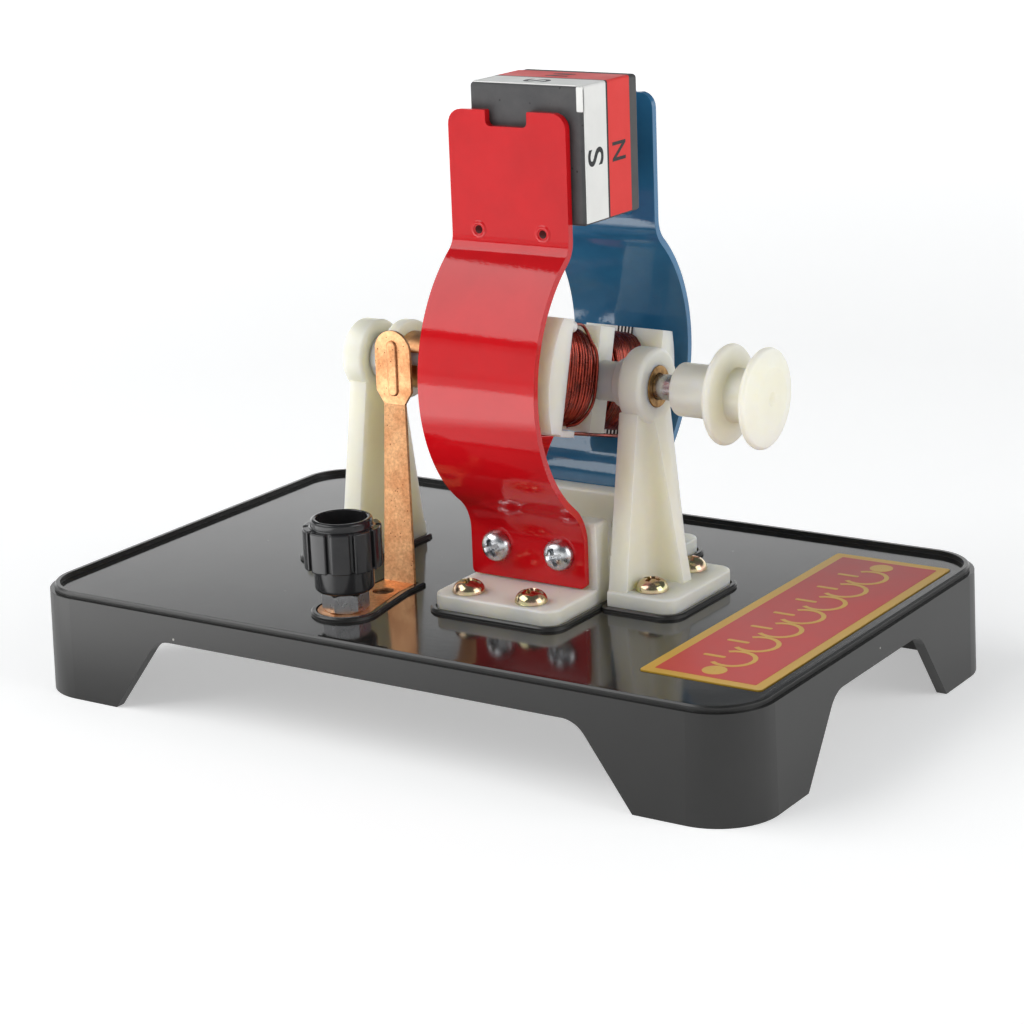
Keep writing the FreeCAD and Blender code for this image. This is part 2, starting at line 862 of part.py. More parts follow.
def commutator_bore():
    return commutator_diameter - 2 * segment_thickness


def commutator_insulator():
    """White end disc, the sleeve that carries the segments, and a thrust collar."""
    disc_left_x = commutator_left_x - disc_thickness
    collar_left_x = left_support_inner_x + thrust_gap
    disc = rod_x(disc_diameter, disc_left_x, commutator_left_x)
    disc = disc.makeFillet(disc_edge, edges_at(disc, 0, disc_left_x) + edges_at(disc, 0, commutator_left_x))
    sleeve = rod_x(commutator_bore(), commutator_left_x - sink, commutator_right_x)
    key_reach = commutator_diameter / 2 - slot_depth
    keys = box(
        (commutator_left_x - sink, -key_reach, -segment_slot / 2),
        (commutator_right_x, key_reach, segment_slot / 2),
    )
    collar = rod_x(thrust_collar_diameter, collar_left_x, disc_left_x + sink)
    shape = fuse_all([disc, sleeve, keys, collar])
    return turned(shape.cut(rod_x(shaft_diameter, collar_left_x - through, commutator_right_x + through)))


def segment(side):
    """Half shell of copper on one side of the slots."""
    shell = rod_x(commutator_diameter, commutator_left_x, commutator_right_x)
    shell = shell.cut(rod_x(commutator_bore(), commutator_left_x - through, commutator_right_x + through))
    half = box(
        (commutator_left_x - through, -commutator_diameter, segment_slot / 2),
        (commutator_right_x + through, commutator_diameter, commutator_diameter),
    )
    if side < 0:
        half = half.mirror(Vec(0, 0, 0), Vec(0, 0, 1))
    return turned(shell.common(half))


def lead_wires():
    """Coil ends brought along the hub to the backs of the two segments."""
    wires = []
    radius = commutator_diameter / 2 - segment_thickness / 2
    right = armature_centre_x - hub_block_half_width
    for side in (-1, 1):
        wire = rod_x(lead_wire_diameter, commutator_right_x, right, 0, side * radius)
        wires.append(turned(wire))
    return wires


# ---- shaft and pulley


def shaft():
    right = pulley_left_x + shaft_in_pulley
    rod = rod_x(shaft_diameter, shaft_left_x, right, centre_y, axis_height)
    return rod.makeChamfer(rod_bevel, edges_at(rod, 0, shaft_left_x) + edges_at(rod, 0, right))


def pulley():
    """Hub and two thin flanges with a V groove between them, turned about the shaft."""
    hub, rim, groove = pulley_hub_diameter / 2, pulley_diameter / 2, pulley_groove_diameter / 2
    half_rim, half_cheek = pulley_rim_width / 2, pulley_cheek_width / 2
    rim_edge = rim - pulley_rim_round
    end_x = flange_two_x + half_cheek
    start = [(pulley_left_x, 0), (pulley_left_x, hub - rod_bevel), (pulley_left_x + rod_bevel, hub)]
    start += [(flange_one_x - half_cheek, hub), (flange_one_x - half_rim, rim_edge)]
    valley = [(flange_one_x + half_rim, rim_edge), (flange_one_x + half_cheek, groove)]
    valley += [(flange_two_x - half_cheek, groove), (flange_two_x - half_rim, rim_edge)]
    end = [(flange_two_x + half_rim, rim_edge), (end_x, pulley_face_radius), (end_x, centre_dimple_radius)]
    end += [(end_x - centre_dimple_depth, 0), (pulley_left_x, 0)]
    edges = chain(start) + [arc_over(flange_one_x, half_rim, rim)] + chain(valley)
    edges += [arc_over(flange_two_x, half_rim, rim)] + chain(end)
    body = Part.Face(Part.Wire(edges)).revolve(Vec(0, 0, 0), Vec(1, 0, 0), 360)
    bore_end = pulley_left_x + shaft_in_pulley
    body = body.cut(rod_x(shaft_diameter, pulley_left_x - through, bore_end))
    return body.translated(Vec(0, centre_y, axis_height))


def chain(points):
    """Straight edges from point to point of a profile given as x and height."""
    corners = [Vec(x, 0, height) for x, height in points]
    return [Part.LineSegment(a, b).toShape() for a, b in zip(corners, corners[1:])]


def arc_over(x, half_width, top):
    """Rounded edge of a pulley flange."""
    low = top - pulley_rim_round
    return Part.Arc(Vec(x - half_width, 0, low), Vec(x, 0, top), Vec(x + half_width, 0, low)).toShape()


# ---- brushes


def brush_foot_plate(extra, bottom, top):
    """Teardrop that runs from the bend to a round end at the post."""
    radius = brush_foot_radius + extra
    round_end = rod_z(2 * radius, bottom, top, post_x, post_y)
    half = brush_base_width / 2 + extra
    back_y = brush_bend_y + extra
    outline = [
        (post_x - radius, post_y),
        (brush_bend_x - half, back_y - brush_parallel_length),
        (brush_bend_x - half, back_y),
        (brush_bend_x + half, back_y),
        (brush_bend_x + half, back_y - brush_parallel_length),
        (post_x + radius, post_y),
    ]
    tongue = polygon_prism([(x, y, bottom) for x, y in outline], (0, 0, top - bottom))
    return fuse_all([round_end, tongue])


def pad_face_y():
    """Front face of the pad: clear of the disc's rim."""
    return centre_y - disc_diameter / 2 - brush_disc_clearance - brush_thickness


def front_brush():
    """One copper strip: foot under the nut, raked blade, rounded pad and contact rib."""
    foot_low, foot_top = deck_top, deck_top + brush_thickness
    foot = brush_foot_plate(0, foot_low, foot_top)
    pad_y = pad_face_y()
    base_y = brush_bend_y - brush_thickness
    outline = [
        Vec(brush_bend_x - brush_base_width / 2, base_y, foot_low),
        Vec(brush_bend_x + brush_base_width / 2, base_y, foot_low),
        Vec(brush_pad_x + brush_neck_width / 2, pad_y, brush_neck_z),
        Vec(brush_pad_x - brush_neck_width / 2, pad_y, brush_neck_z),
    ]
    blade = polygon_prism([tuple(p) for p in outline], (0, brush_thickness, 0))
    shape = fuse_all([foot, blade, brush_pad(pad_y)])
    low, high = foot_low - through, foot_top + through
    holes = [rod_z(stud_hole_diameter, low, high, post_x, post_y)]
    holes.append(rod_z(spare_hole_diameter, low, high, post_x, post_y + spare_hole_offset))
    return cut_all(shape, holes)


def brush_pad(pad_y):
    """Pad with a rounded top, the bead pressed in it and the rib that meets the copper."""
    half, half_neck = brush_pad_width / 2, brush_neck_width / 2
    low, shoulder = brush_neck_z, brush_neck_z + brush_shoulder_height
    high = low + brush_pad_height
    side = [(half_neck, low), (half, shoulder), (half, high - half)]
    right = [Vec(brush_pad_x + x, pad_y, z) for x, z in side]
    left = [Vec(brush_pad_x - x, pad_y, z) for x, z in reversed(side)]
    edges = [Part.LineSegment(a, b).toShape() for a, b in zip(right, right[1:])]
    edges.append(Part.Arc(right[-1], Vec(brush_pad_x, pad_y, high), left[0]).toShape())
    edges += [Part.LineSegment(a, b).toShape() for a, b in zip(left, left[1:] + right[:1])]
    pad = Part.Face(Part.Wire(edges)).extrude(Vec(0, brush_thickness, 0))
    bead_y = pad_y - brush_bead_height
    inside_y = pad_y + brush_thickness / 2
    bead = slot_prism(brush_bead_width, brush_bead_length, bead_y, inside_y, brush_pad_x)
    bead = bead.makeFillet(brush_bead_height * bead_round_share, edges_at(bead, 1, bead_y))
    reach = centre_y - commutator_diameter / 2 - brush_contact_clearance
    contact_x = commutator_left_x + brush_disc_clearance + brush_bead_width / 2
    contact = slot_prism(brush_bead_width, brush_bead_length, inside_y, reach, contact_x)
    return fuse_all([pad, bead, contact])


def arc_across(x, half, y, z, rise):
    """Half circle from x + half over x to x - half, standing on height z."""
    return Part.Arc(Vec(x + half, y, z), Vec(x, y, z + rise), Vec(x - half, y, z)).toShape()


def slot_prism(width, length, front, back, x):
    """Upright bar with round ends, centred on the shaft's height."""
    straight = (length - width) / 2
    half = width / 2
    low, high = axis_height - straight, axis_height + straight
    edges = [
        Part.LineSegment(Vec(x + half, front, low), Vec(x + half, front, high)).toShape(),
        arc_across(x, half, front, high, half),
        Part.LineSegment(Vec(x - half, front, high), Vec(x - half, front, low)).toShape(),
        arc_across(x, -half, front, low, -half),
    ]
    return Part.Face(Part.Wire(edges)).extrude(Vec(0, back - front, 0))


# ---- binding posts


def post_levels():
    foot_top = deck_top + brush_thickness
    nut_top = foot_top + post_nut_height
    return foot_top, nut_top, nut_top + knob_seat_gap


def post_nuts():
    low, high = post_levels()[:2]
    return [hexagon(post_nut_flats, low, high, x, y, stud_diameter) for x, y in post_places()]


def post_stud(x, y):
    bottom = deck_top - deck_thickness - washer_thickness - under_nut_height - thread_tail
    stud = rod_z(stud_diameter, bottom, stud_top, x, y)
    return stud.makeChamfer(rod_bevel, edges_at(stud, 2, bottom) + edges_at(stud, 2, stud_top))


def knob_cap(x, y):
    """Ribbed plastic knob with a wide open mouth."""
    low = post_levels()[2]
    high = low + knob_height
    body_top = low + knob_body_height
    rib_top = body_top + knob_rib_height
    body = rod_z(knob_body_diameter, low, body_top, x, y)
    body = body.makeChamfer(knob_bevel, edges_at(body, 2, low))
    core = rod_z(knob_core_diameter, body_top, rib_top, x, y)
    ring = rod_z(knob_ring_diameter, rib_top - sink, high, x, y)
    ring = ring.makeFillet(knob_bevel, edges_at(ring, 2, high))
    ribs = [knob_rib(x, y, body_top, 360 * i / knob_rib_count) for i in range(knob_rib_count)]
    shape = fuse_all([body, core, ring] + ribs)
    shape = shape.cut(rod_z(knob_mouth_diameter, high - knob_mouth_depth, high + through, x, y))
    return shape.cut(rod_z(insert_diameter, low - through, high, x, y))


def knob_rib(x, y, low, angle):
    sweep = 360 / knob_rib_count * knob_rib_share
    high = low + knob_rib_height
    radius = knob_rib_diameter / 2
    outer = Part.makeCylinder(radius, knob_rib_height, Vec(0, 0, low), Vec(0, 0, 1), sweep)
    rib = outer.cut(rod_z(knob_core_diameter - 2 * sink, low - through, high + through))
    rib.rotate(Vec(0, 0, 0), Vec(0, 0, 1), angle)
    return rib.translated(Vec(x, y, 0))


def knob_insert(x, y):
    low = post_levels()[2]
    high = low + knob_height - knob_mouth_depth
    bore = stud_diameter + 2 * running_clearance
    insert = rod_z(insert_diameter, low, high, x, y)
    return insert.cut(rod_z(bore, low - through, high + through, x, y))


# ---- fasteners under the base


def foot_screws():
    shank = foot_thickness + deck_thickness + washer_thickness + small_nut_height + thread_tail
    top = deck_top + foot_thickness
    return [pan_screw(shank).translated(Vec(x, y, top)) for x, y in foot_screw_places()]


def washers(places, bore, outer):
    high = deck_top - deck_thickness
    low = high - washer_thickness
    discs = []
    for x, y in places:
        hole = rod_z(bore, low - through, high + through, x, y)
        discs.append(rod_z(outer, low, high, x, y).cut(hole))
    return discs


def under_nuts(places, flats, height, bore):
    high = deck_top - deck_thickness - washer_thickness
    return [hexagon(flats, high - height, high, x, y, bore) for x, y in places]


# ---- build and write every piece

os.makedirs("parts", exist_ok=True)

front_post, back_post = post_places()

save("base_moulding", base_moulding())
save("nameplate", plate_solid(deck_top - plate_recess, deck_top - plate_recess + plate_thickness))
save("support_right", at_right(support_solid()))
save("support_left", at_left(support_solid()))
save("bush_right", at_right(bush_solid()))
save("bush_left", at_left(bush_solid()))
save("pole_bracket", pole_bracket())
save("pole_blue", pole_strip())
save("pole_red", mirror_y(pole_strip()))
save("pole_screws", *pole_screws())
save("foot_screws", *foot_screws())
save("foot_washers", *washers(foot_screw_places(), screw_diameter, small_washer_diameter))
save("foot_nuts", *under_nuts(foot_screw_places(), small_nut_flats, small_nut_height, screw_diameter))

save("brush_front", front_brush())
save("brush_back", mirror_y(front_brush()))
save("post_studs", post_stud(*front_post), post_stud(*back_post))
save("post_nuts", *post_nuts())
save("post_under_washers", *washers(post_places(), stud_diameter, large_washer_diameter))
save("post_under_nuts", *under_nuts(post_places(), post_nut_flats, under_nut_height, stud_diameter))
save("knob_front_cap", knob_cap(*front_post))
save("knob_front_insert", knob_insert(*front_post))
save("knob_back_cap", knob_cap(*back_post))
save("knob_back_insert", knob_insert(*back_post))

save("magnet_block", magnet_block())
save("magnet_label", magnet_label())

save("shaft", shaft())
save("core_laminations", *laminations())
save("armature_former", former())
save("coil_front", coil(-1))
save("coil_back", coil(1))
save("crossing_wires", *crossing_wires())
save("commutator_insulator", commutator_insulator())
save("segment_upper", segment(1))
save("segment_lower", segment(-1))
save("lead_wires", *lead_wires())
save("pulley", pulley())
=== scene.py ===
import bmesh
import bpy
import math
from mathutils import Matrix, Vector


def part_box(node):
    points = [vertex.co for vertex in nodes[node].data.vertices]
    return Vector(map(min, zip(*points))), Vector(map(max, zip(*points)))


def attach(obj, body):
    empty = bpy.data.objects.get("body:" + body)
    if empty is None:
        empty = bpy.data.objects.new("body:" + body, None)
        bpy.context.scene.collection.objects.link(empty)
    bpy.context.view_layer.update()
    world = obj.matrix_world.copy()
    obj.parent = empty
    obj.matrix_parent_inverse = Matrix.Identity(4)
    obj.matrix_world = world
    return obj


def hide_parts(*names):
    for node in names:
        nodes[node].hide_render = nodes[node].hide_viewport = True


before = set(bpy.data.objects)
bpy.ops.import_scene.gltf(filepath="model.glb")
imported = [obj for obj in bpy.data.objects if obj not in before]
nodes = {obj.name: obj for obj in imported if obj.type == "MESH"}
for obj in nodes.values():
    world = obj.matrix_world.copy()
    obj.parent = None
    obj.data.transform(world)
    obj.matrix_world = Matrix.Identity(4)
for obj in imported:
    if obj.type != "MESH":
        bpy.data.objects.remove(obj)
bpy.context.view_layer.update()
scene = bpy.context.scene
scene.view_settings.view_transform = "Standard"

# ---- Camera
# A long lens looks down on the front right corner of the base, tilted a little.
lens_length, film_width, nearest_seen = 98.07, 36, 0.01
camera_place = Vector((0.299533, -0.447212, 0.189679))
camera_yaw, camera_pitch, camera_roll = 0.58774, 0.28077, -0.03801


def add_camera():
    across = Vector((math.cos(camera_yaw), math.sin(camera_yaw), 0))
    level = math.cos(camera_pitch)
    back = Vector((math.sin(camera_yaw) * level, -math.cos(camera_yaw) * level, math.sin(camera_pitch)))
    turn = Matrix((across, back.cross(across), back)).transposed() @ Matrix.Rotation(camera_roll, 3, "Z")
    camera = bpy.data.objects.new("camera", bpy.data.cameras.new("camera"))
    camera.data.sensor_width = film_width
    camera.data.lens = lens_length
    camera.data.clip_start = nearest_seen
    camera.matrix_world = Matrix.Translation(camera_place) @ turn.to_4x4()
    scene.collection.objects.link(camera)
    scene.camera = camera


add_camera()

# ---- Table, backdrop and lamps
# A round white table with a low white wall that glows a little behind the work, a
# round patch of painted light on the table at its front left that glows strongly like a lamp, two soft
# boxes, and a dim room over the wall, so that level shiny faces darken towards the front.
backdrop_radius, backdrop_height = 3.0, 1.06
backdrop_corner, backdrop_sides = 0.12, 96
table_paint = (0.80, 0.80, 0.795, 1)
table_glow, far_glow, front_share, top_glow = 0.42, 0.5, 0.05, 0.3
glow_near, glow_far, glow_depth = 0.3, 1.3, 0.4
fade_start, fade_end = backdrop_height * 0.755, backdrop_height * 0.925
# Round patch of painted light on the table: it glows strongly, lights the work and shows in its shiny
# faces.
glow_patch_place, glow_patch_radius, glow_patch_strength, glow_patch_solid = (-0.15, -0.23, 0.0), 0.17, 3.0, 0.8
room_tone, room_strength = (0.86, 0.93, 1.0, 1), 0.16


def link_nodes(tree, *links):
    """Links each (node, output, node, input); a socket is told by its name or place."""
    for source, out, target, into in links:
        tree.links.new(source.outputs[out], target.inputs[into])


def new_material(name):
    """A material with its Principled shader and its node tree."""
    material = bpy.data.materials.new(name)
    material.use_nodes = True
    return material, material.node_tree, material.node_tree.nodes["Principled BSDF"]


def band_node(tree, low, high, to_low=0.0, to_high=1.0):
    """Spreads the range from low to high over the range of the output."""
    node = tree.nodes.new("ShaderNodeMapRange")
    node.inputs["From Min"].default_value = low
    node.inputs["From Max"].default_value = high
    node.inputs["To Min"].default_value = to_low
    node.inputs["To Max"].default_value = to_high
    return node


def math_node(tree, operation, value=0.0):
    node = tree.nodes.new("ShaderNodeMath")
    node.operation = operation
    node.inputs[1].default_value = value
    return node


def vector_node(tree, operation):
    node = tree.nodes.new("ShaderNodeVectorMath")
    node.operation = operation
    return node


def table_material():
    """White paint that glows: more at the back and far off, less up the wall, and strongly in a round
    patch of painted light at the front left.
    """
    material, tree, shader = new_material("white_table")
    shader.inputs["Base Color"].default_value = table_paint
    shader.inputs["Roughness"].default_value = 0.9
    shader.inputs["Specular IOR Level"].default_value = 0.1
    shader.inputs["Emission Color"].default_value = (1, 1, 1, 1)
    place = tree.nodes.new("ShaderNodeTexCoord")
    apart = tree.nodes.new("ShaderNodeSeparateXYZ")
    reach, sheet = vector_node(tree, "LENGTH"), vector_node(tree, "DISTANCE")
    sheet.inputs[1].default_value = glow_patch_place
    far = band_node(tree, glow_near, glow_far)
    back = band_node(tree, -glow_depth, glow_depth, front_share * far_glow, far_glow)
    high = band_node(tree, fade_start, fade_end, 1.0, top_glow)
    # Painted light: strong glow inside the round patch at the front left.
    paper = band_node(tree, glow_patch_radius * glow_patch_solid, glow_patch_radius, glow_patch_strength, 0.0)
    more, fade = math_node(tree, "MULTIPLY"), math_node(tree, "MULTIPLY")
    base, total = math_node(tree, "ADD", table_glow), math_node(tree, "ADD")
    link_nodes(
        tree,
        (place, "Object", reach, 0),
        (place, "Object", sheet, 0),
        (place, "Object", apart, "Vector"),
        (reach, "Value", far, "Value"),
        (apart, "Y", back, "Value"),
        (apart, "Z", high, "Value"),
        (sheet, "Value", paper, "Value"),
        (far, "Result", more, 0),
        (back, "Result", more, 1),
        (more, 0, base, 0),
        (base, 0, fade, 0),
        (high, "Result", fade, 1),
        (fade, 0, total, 0),
        (paper, "Result", total, 1),
        (total, 0, shader, "Emission Strength"),
    )
    return material


def join_rings(mesh, rings):
    """Faces from each closed ring of points to the next."""
    for low, high in zip(rings, rings[1:]):
        for i in range(len(low)):
            j = (i + 1) % len(low)
            mesh.faces.new((low[i], low[j], high[j], high[i]))


def turned_rings(mesh, profile, sides):
    """Turns a profile of (radius, height) points about Z and leaves its ends open."""
    rings = []
    for radius, height in profile:
        turns = [2 * math.pi * i / sides for i in range(sides)]
        rings.append([mesh.verts.new((radius * math.cos(a), radius * math.sin(a), height)) for a in turns])
    join_rings(mesh, rings)
    return rings


def add_backdrop():
    """Disc and wall in one turned sheet, with a rounded corner between them."""
    profile = [(backdrop_radius / 2, 0.0)]
    for degrees in range(0, 91, 15):
        angle = math.radians(degrees)
        run = backdrop_radius - backdrop_corner + backdrop_corner * math.sin(angle)
        profile.append((run, backdrop_corner * (1 - math.cos(angle))))
    profile.append((backdrop_radius, backdrop_height))
    mesh = bmesh.new()
    rings = turned_rings(mesh, profile, backdrop_sides)
    for face in mesh.faces:
        face.smooth = True
    mesh.faces.new(rings[0])
    data = bpy.data.meshes.new("backdrop")
    mesh.to_mesh(data)
    mesh.free()
    data.materials.append(table_material())
    backdrop = bpy.data.objects.new("backdrop", data)
    scene.collection.objects.link(backdrop)


def add_soft_box(name, place, target, width, height, power):
    light = bpy.data.lights.new(name, "AREA")
    light.shape = "RECTANGLE"
    light.size, light.size_y = width, height
    light.energy = power
    lamp = bpy.data.objects.new(name, light)
    lamp.location = place
    lamp.rotation_euler = (Vector(target) - Vector(place)).to_track_quat("-Z", "Y").to_euler()
    scene.collection.objects.link(lamp)


def add_room():
    world = bpy.data.worlds.new("room")
    scene.world = world
    world.use_nodes = True
    background = world.node_tree.nodes["Background"]
    background.inputs["Color"].default_value = room_tone
    background.inputs["Strength"].default_value = room_strength


add_backdrop()
add_room()
works_middle = (0.0, 0.0, 0.06)
add_soft_box("front_left_box", (-0.58, -0.52, 0.77), works_middle, width=1.1, height=0.7, power=7.8)
add_soft_box("right_box", (1.05, 0.05, 0.5), works_middle, width=0.7, height=0.7, power=4.5)

# ---- Base
# Black styrene tray moulded in one piece: four legs, a thin apron, a bead round
# the deck and low ribs that frame each foot. The deck is polished, the legs less.
black_plastic, worn_plastic = (0.014, 0.0138, 0.013, 1), (0.021, 0.0205, 0.0195, 1)
dust_tone = (0.30, 0.29, 0.27, 1)
polished_roughness, satin_roughness, patch_roughness = 0.09, 0.4, 0.06
leg_facing, deck_facing = 0.6, 0.95
moulded_rounding = 0.00035
touching = 0.000002


def tint(red, green, blue):
    """A colour mixed from 0 to 255 in the way paint charts give it."""
    parts = [channel / 255 for channel in (red, green, blue)]
    return tuple(c / 12.92 if c <= 0.04045 else ((c + 0.055) / 1.055) ** 2.4 for c in parts) + (1.0,)


def new_group(name, inputs, outputs):
    """Empty node group with named inputs (name, type, value) and outputs."""
    group = bpy.data.node_groups.new(name, "ShaderNodeTree")
    for label, kind, value in inputs:
        socket = group.interface.new_socket(label, in_out="INPUT", socket_type="NodeSocket" + kind)
        socket.default_value = value
    for label, kind in outputs:
        group.interface.new_socket(label, in_out="OUTPUT", socket_type="NodeSocket" + kind)
    return group, group.nodes.new("NodeGroupInput"), group.nodes.new("NodeGroupOutput")


def noise_node(tree, detail, roughness):
    node = tree.nodes.new("ShaderNodeTexNoise")
    node.inputs["Detail"].default_value = detail
    node.inputs["Roughness"].default_value = roughness
    return node


def mix_node(tree):
    node = tree.nodes.new("ShaderNodeMix")
    node.data_type = "RGBA"
    return node


def build_mottle():
    """Two tones that drift into each other in soft patches."""
    sockets = [("Tone", "Color", (1, 1, 1, 1)), ("Other Tone", "Color", (0, 0, 0, 1))]
    sockets += [("Scale", "Float", 100.0), ("Amount", "Float", 0.5)]
    group, start, end = new_group("mottle", sockets, [("Colour", "Color"), ("Mask", "Float")])
    place = group.nodes.new("ShaderNodeTexCoord")
    noise = noise_node(group, detail=5.0, roughness=0.6)
    spread = band_node(group, low=0.35, high=0.68)
    weight = math_node(group, "MULTIPLY")
    mix = mix_node(group)
    link_nodes(
        group,
        (place, "Object", noise, "Vector"),
        (start, "Scale", noise, "Scale"),
        (noise, "Fac", spread, "Value"),
        (spread, "Result", weight, 0),
        (start, "Amount", weight, 1),
        (weight, 0, mix, "Factor"),
        (start, "Tone", mix, "A"),
        (start, "Other Tone", mix, "B"),
        (mix, "Result", end, "Colour"),
        (weight, 0, end, "Mask"),
    )
    return group


def build_specks():
    """Small round specks of dust or grit scattered over a ground colour."""
    sockets = [("Ground", "Color", (1, 1, 1, 1)), ("Speck", "Color", (0, 0, 0, 1))]
    sockets += [("Scale", "Float", 900.0), ("Share", "Float", 0.06), ("Size", "Float", 0.16)]
    group, start, end = new_group("specks", sockets, [("Colour", "Color"), ("Mask", "Float")])
    place = group.nodes.new("ShaderNodeTexCoord")
    cells = group.nodes.new("ShaderNodeTexVoronoi")
    near = math_node(group, "LESS_THAN")
    split = group.nodes.new("ShaderNodeSeparateColor")
    chosen = math_node(group, "LESS_THAN")
    both = math_node(group, "MULTIPLY")
    mix = mix_node(group)
    link_nodes(
        group,
        (place, "Object", cells, "Vector"),
        (start, "Scale", cells, "Scale"),
        (cells, "Distance", near, 0),
        (start, "Size", near, 1),
        (cells, "Color", split, "Color"),
        (split, "Red", chosen, 0),
        (start, "Share", chosen, 1),
        (near, 0, both, 0),
        (chosen, 0, both, 1),
        (both, 0, mix, "Factor"),
        (start, "Ground", mix, "A"),
        (start, "Speck", mix, "B"),
        (mix, "Result", end, "Colour"),
        (both, 0, end, "Mask"),
    )
    return group


def build_relief():
    """Fine unevenness of a surface, as a height in metres."""
    sockets = [("Scale", "Float", 400.0), ("Depth", "Float", 0.00002), ("Stretch", "Vector", (1, 1, 1))]
    group, start, end = new_group("relief", sockets, [("Height", "Float")])
    place = group.nodes.new("ShaderNodeTexCoord")
    stretched = vector_node(group, "MULTIPLY")
    noise = noise_node(group, detail=2.0, roughness=0.5)
    depth = math_node(group, "MULTIPLY")
    link_nodes(
        group,
        (place, "Object", stretched, 0),
        (start, "Stretch", stretched, 1),
        (stretched, "Vector", noise, "Vector"),
        (start, "Scale", noise, "Scale"),
        (noise, "Fac", depth, 0),
        (start, "Depth", depth, 1),
        (depth, 0, end, "Height"),
    )
    return group


mottle, specks, relief = build_mottle(), build_specks(), build_relief()


def place_group(tree, group, **values):
    """The group as a node, with its named inputs set; spaces are written as _."""
    node = tree.nodes.new("ShaderNodeGroup")
    node.node_tree = group
    for label, value in values.items():
        node.inputs[label.replace("_", " ")].default_value = value
    return node


def add_relief(tree, shader, scale, depth, stretch=(1, 1, 1)):
    """Bumps of that depth in metres, on the shader's normal."""
    source = place_group(tree, relief, Scale=scale, Depth=depth, Stretch=stretch)
    bump = tree.nodes.new("ShaderNodeBump")
    bump.inputs["Distance"].default_value = 1.0
    link_nodes(tree, (source, "Height", bump, "Height"), (bump, "Normal", shader, "Normal"))


def black_moulding_material():
    material, tree, shader = new_material("black_moulding")
    shader.inputs["IOR"].default_value = 1.5
    cloud = place_group(tree, mottle, Tone=black_plastic, Other_Tone=worn_plastic, Scale=60)
    dust = place_group(tree, specks, Speck=dust_tone, Scale=520, Share=0.012, Size=0.13)
    facing = tree.nodes.new("ShaderNodeNewGeometry")
    apart = tree.nodes.new("ShaderNodeSeparateXYZ")
    level = band_node(tree, leg_facing, deck_facing, satin_roughness, polished_roughness)
    patch = math_node(tree, "MULTIPLY", patch_roughness)
    both = math_node(tree, "ADD")
    link_nodes(
        tree,
        (cloud, "Colour", dust, "Ground"),
        (dust, "Colour", shader, "Base Color"),
        (facing, "Normal", apart, "Vector"),
        (apart, "Z", level, "Value"),
        (cloud, "Mask", patch, 0),
        (level, "Result", both, 0),
        (patch, 0, both, 1),
        (both, 0, shader, "Roughness"),
    )
    add_relief(tree, shader, scale=700, depth=0.0000022)
    return material


def soften_edges(piece, rounding, segments=3):
    """Rounds the edges by modifiers, once the faces are joined and the flat ones are whole."""
    join = piece.modifiers.new("joined_faces", "WELD")
    join.merge_threshold = touching
    flat = piece.modifiers.new("flat_faces", "DECIMATE")
    flat.decimate_type = "DISSOLVE"
    flat.angle_limit = math.radians(0.3)
    edge = piece.modifiers.new("rounded_edges", "BEVEL")
    edge.width = rounding
    edge.segments = segments
    edge.limit_method = "ANGLE"
    edge.angle_limit = math.radians(32)
    shade = piece.modifiers.new("even_shading", "WEIGHTED_NORMAL")
    shade.weight = 100
    shade.keep_sharp = True


def dress(name, material, rounding=0.0, segments=3):
    """Gives a CAD node its finish and, where asked, the small rounding of its edges."""
    piece = nodes[name]
    piece.data.materials.clear()
    piece.data.materials.append(material)
    if rounding:
        soften_edges(piece, rounding, segments)


dress("base_moulding", black_moulding_material(), moulded_rounding)

# ---- Nameplate
# Printed foil stuck in the recess at the right of the deck: a gold ground, a red
# field and a plain row of winding loops between two terminal dots, in gold.
plate_gold = tint(212, 168, 62)
plate_red = tint(190, 48, 42)
gold_border = 0.0021
plate_corner, field_corner = 0.0008, 0.0003
print_thickness = 0.00003
loop_count, loop_radius, loop_stroke = 7, 0.0041, 0.00095
loop_reach = math.radians(130)
bar_start, bar_end, bar_corner = loop_radius * 1.5, loop_radius * 0.4, loop_stroke * 0.3
dot_inset, dot_radius, dot_stroke = loop_radius * 1.4, loop_radius * 0.3, loop_radius * 0.55
dot_reach = 1.999 * math.pi


def bare_object(name, mesh):
    """Object of a finished bmesh, its faces turned outwards."""
    data = bpy.data.meshes.new(name)
    bmesh.ops.recalc_face_normals(mesh, faces=mesh.faces)
    mesh.to_mesh(data)
    mesh.free()
    thing = bpy.data.objects.new(name, data)
    scene.collection.objects.link(thing)
    return thing


def put(mesh, matrix):
    """The loose mesh, moved to its place."""
    bmesh.ops.transform(mesh, matrix=matrix, verts=mesh.verts)
    return mesh


def add_piece(name, mesh, material, body, smooth=True):
    """Makes an object of a bmesh, gives it its finish and lets it ride on a body."""
    piece = bare_object(name, mesh)
    piece.data.polygons.foreach_set("use_smooth", [smooth] * len(piece.data.polygons))
    piece.data.materials.append(material)
    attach(piece, body)
    return piece


def square_corners(points, radii, steps=6):
    """Outline whose right-angled corners are rounded, each by its own radius."""
    outline = []
    for index, (corner, radius) in enumerate(zip(points, radii)):
        back = (Vector(points[index - 1]) - Vector(corner)).normalized() * radius
        on = (Vector(points[(index + 1) % len(points)]) - Vector(corner)).normalized() * radius
        for step in range(steps + 1):
            angle = math.pi / 2 * step / steps
            point = Vector(corner) + back * (1 - math.sin(angle)) + on * (1 - math.cos(angle))
            outline.append((point.x, point.y))
    return outline


def rounded_outline(low, high, radius, steps=6):
    """Rectangle with round corners, anticlockwise."""
    corners = [(high.x, high.y), (low.x, high.y), (low.x, low.y), (high.x, low.y)]
    return square_corners(corners, [radius] * 4, steps)


def solid_between(mesh, low_outline, high_outline):
    """Closed solid between two outlines with as many points."""
    low = [mesh.verts.new(point) for point in low_outline]
    high = [mesh.verts.new(point) for point in high_outline]
    mesh.faces.new(low[::-1])
    mesh.faces.new(high)
    join_rings(mesh, [low, high])


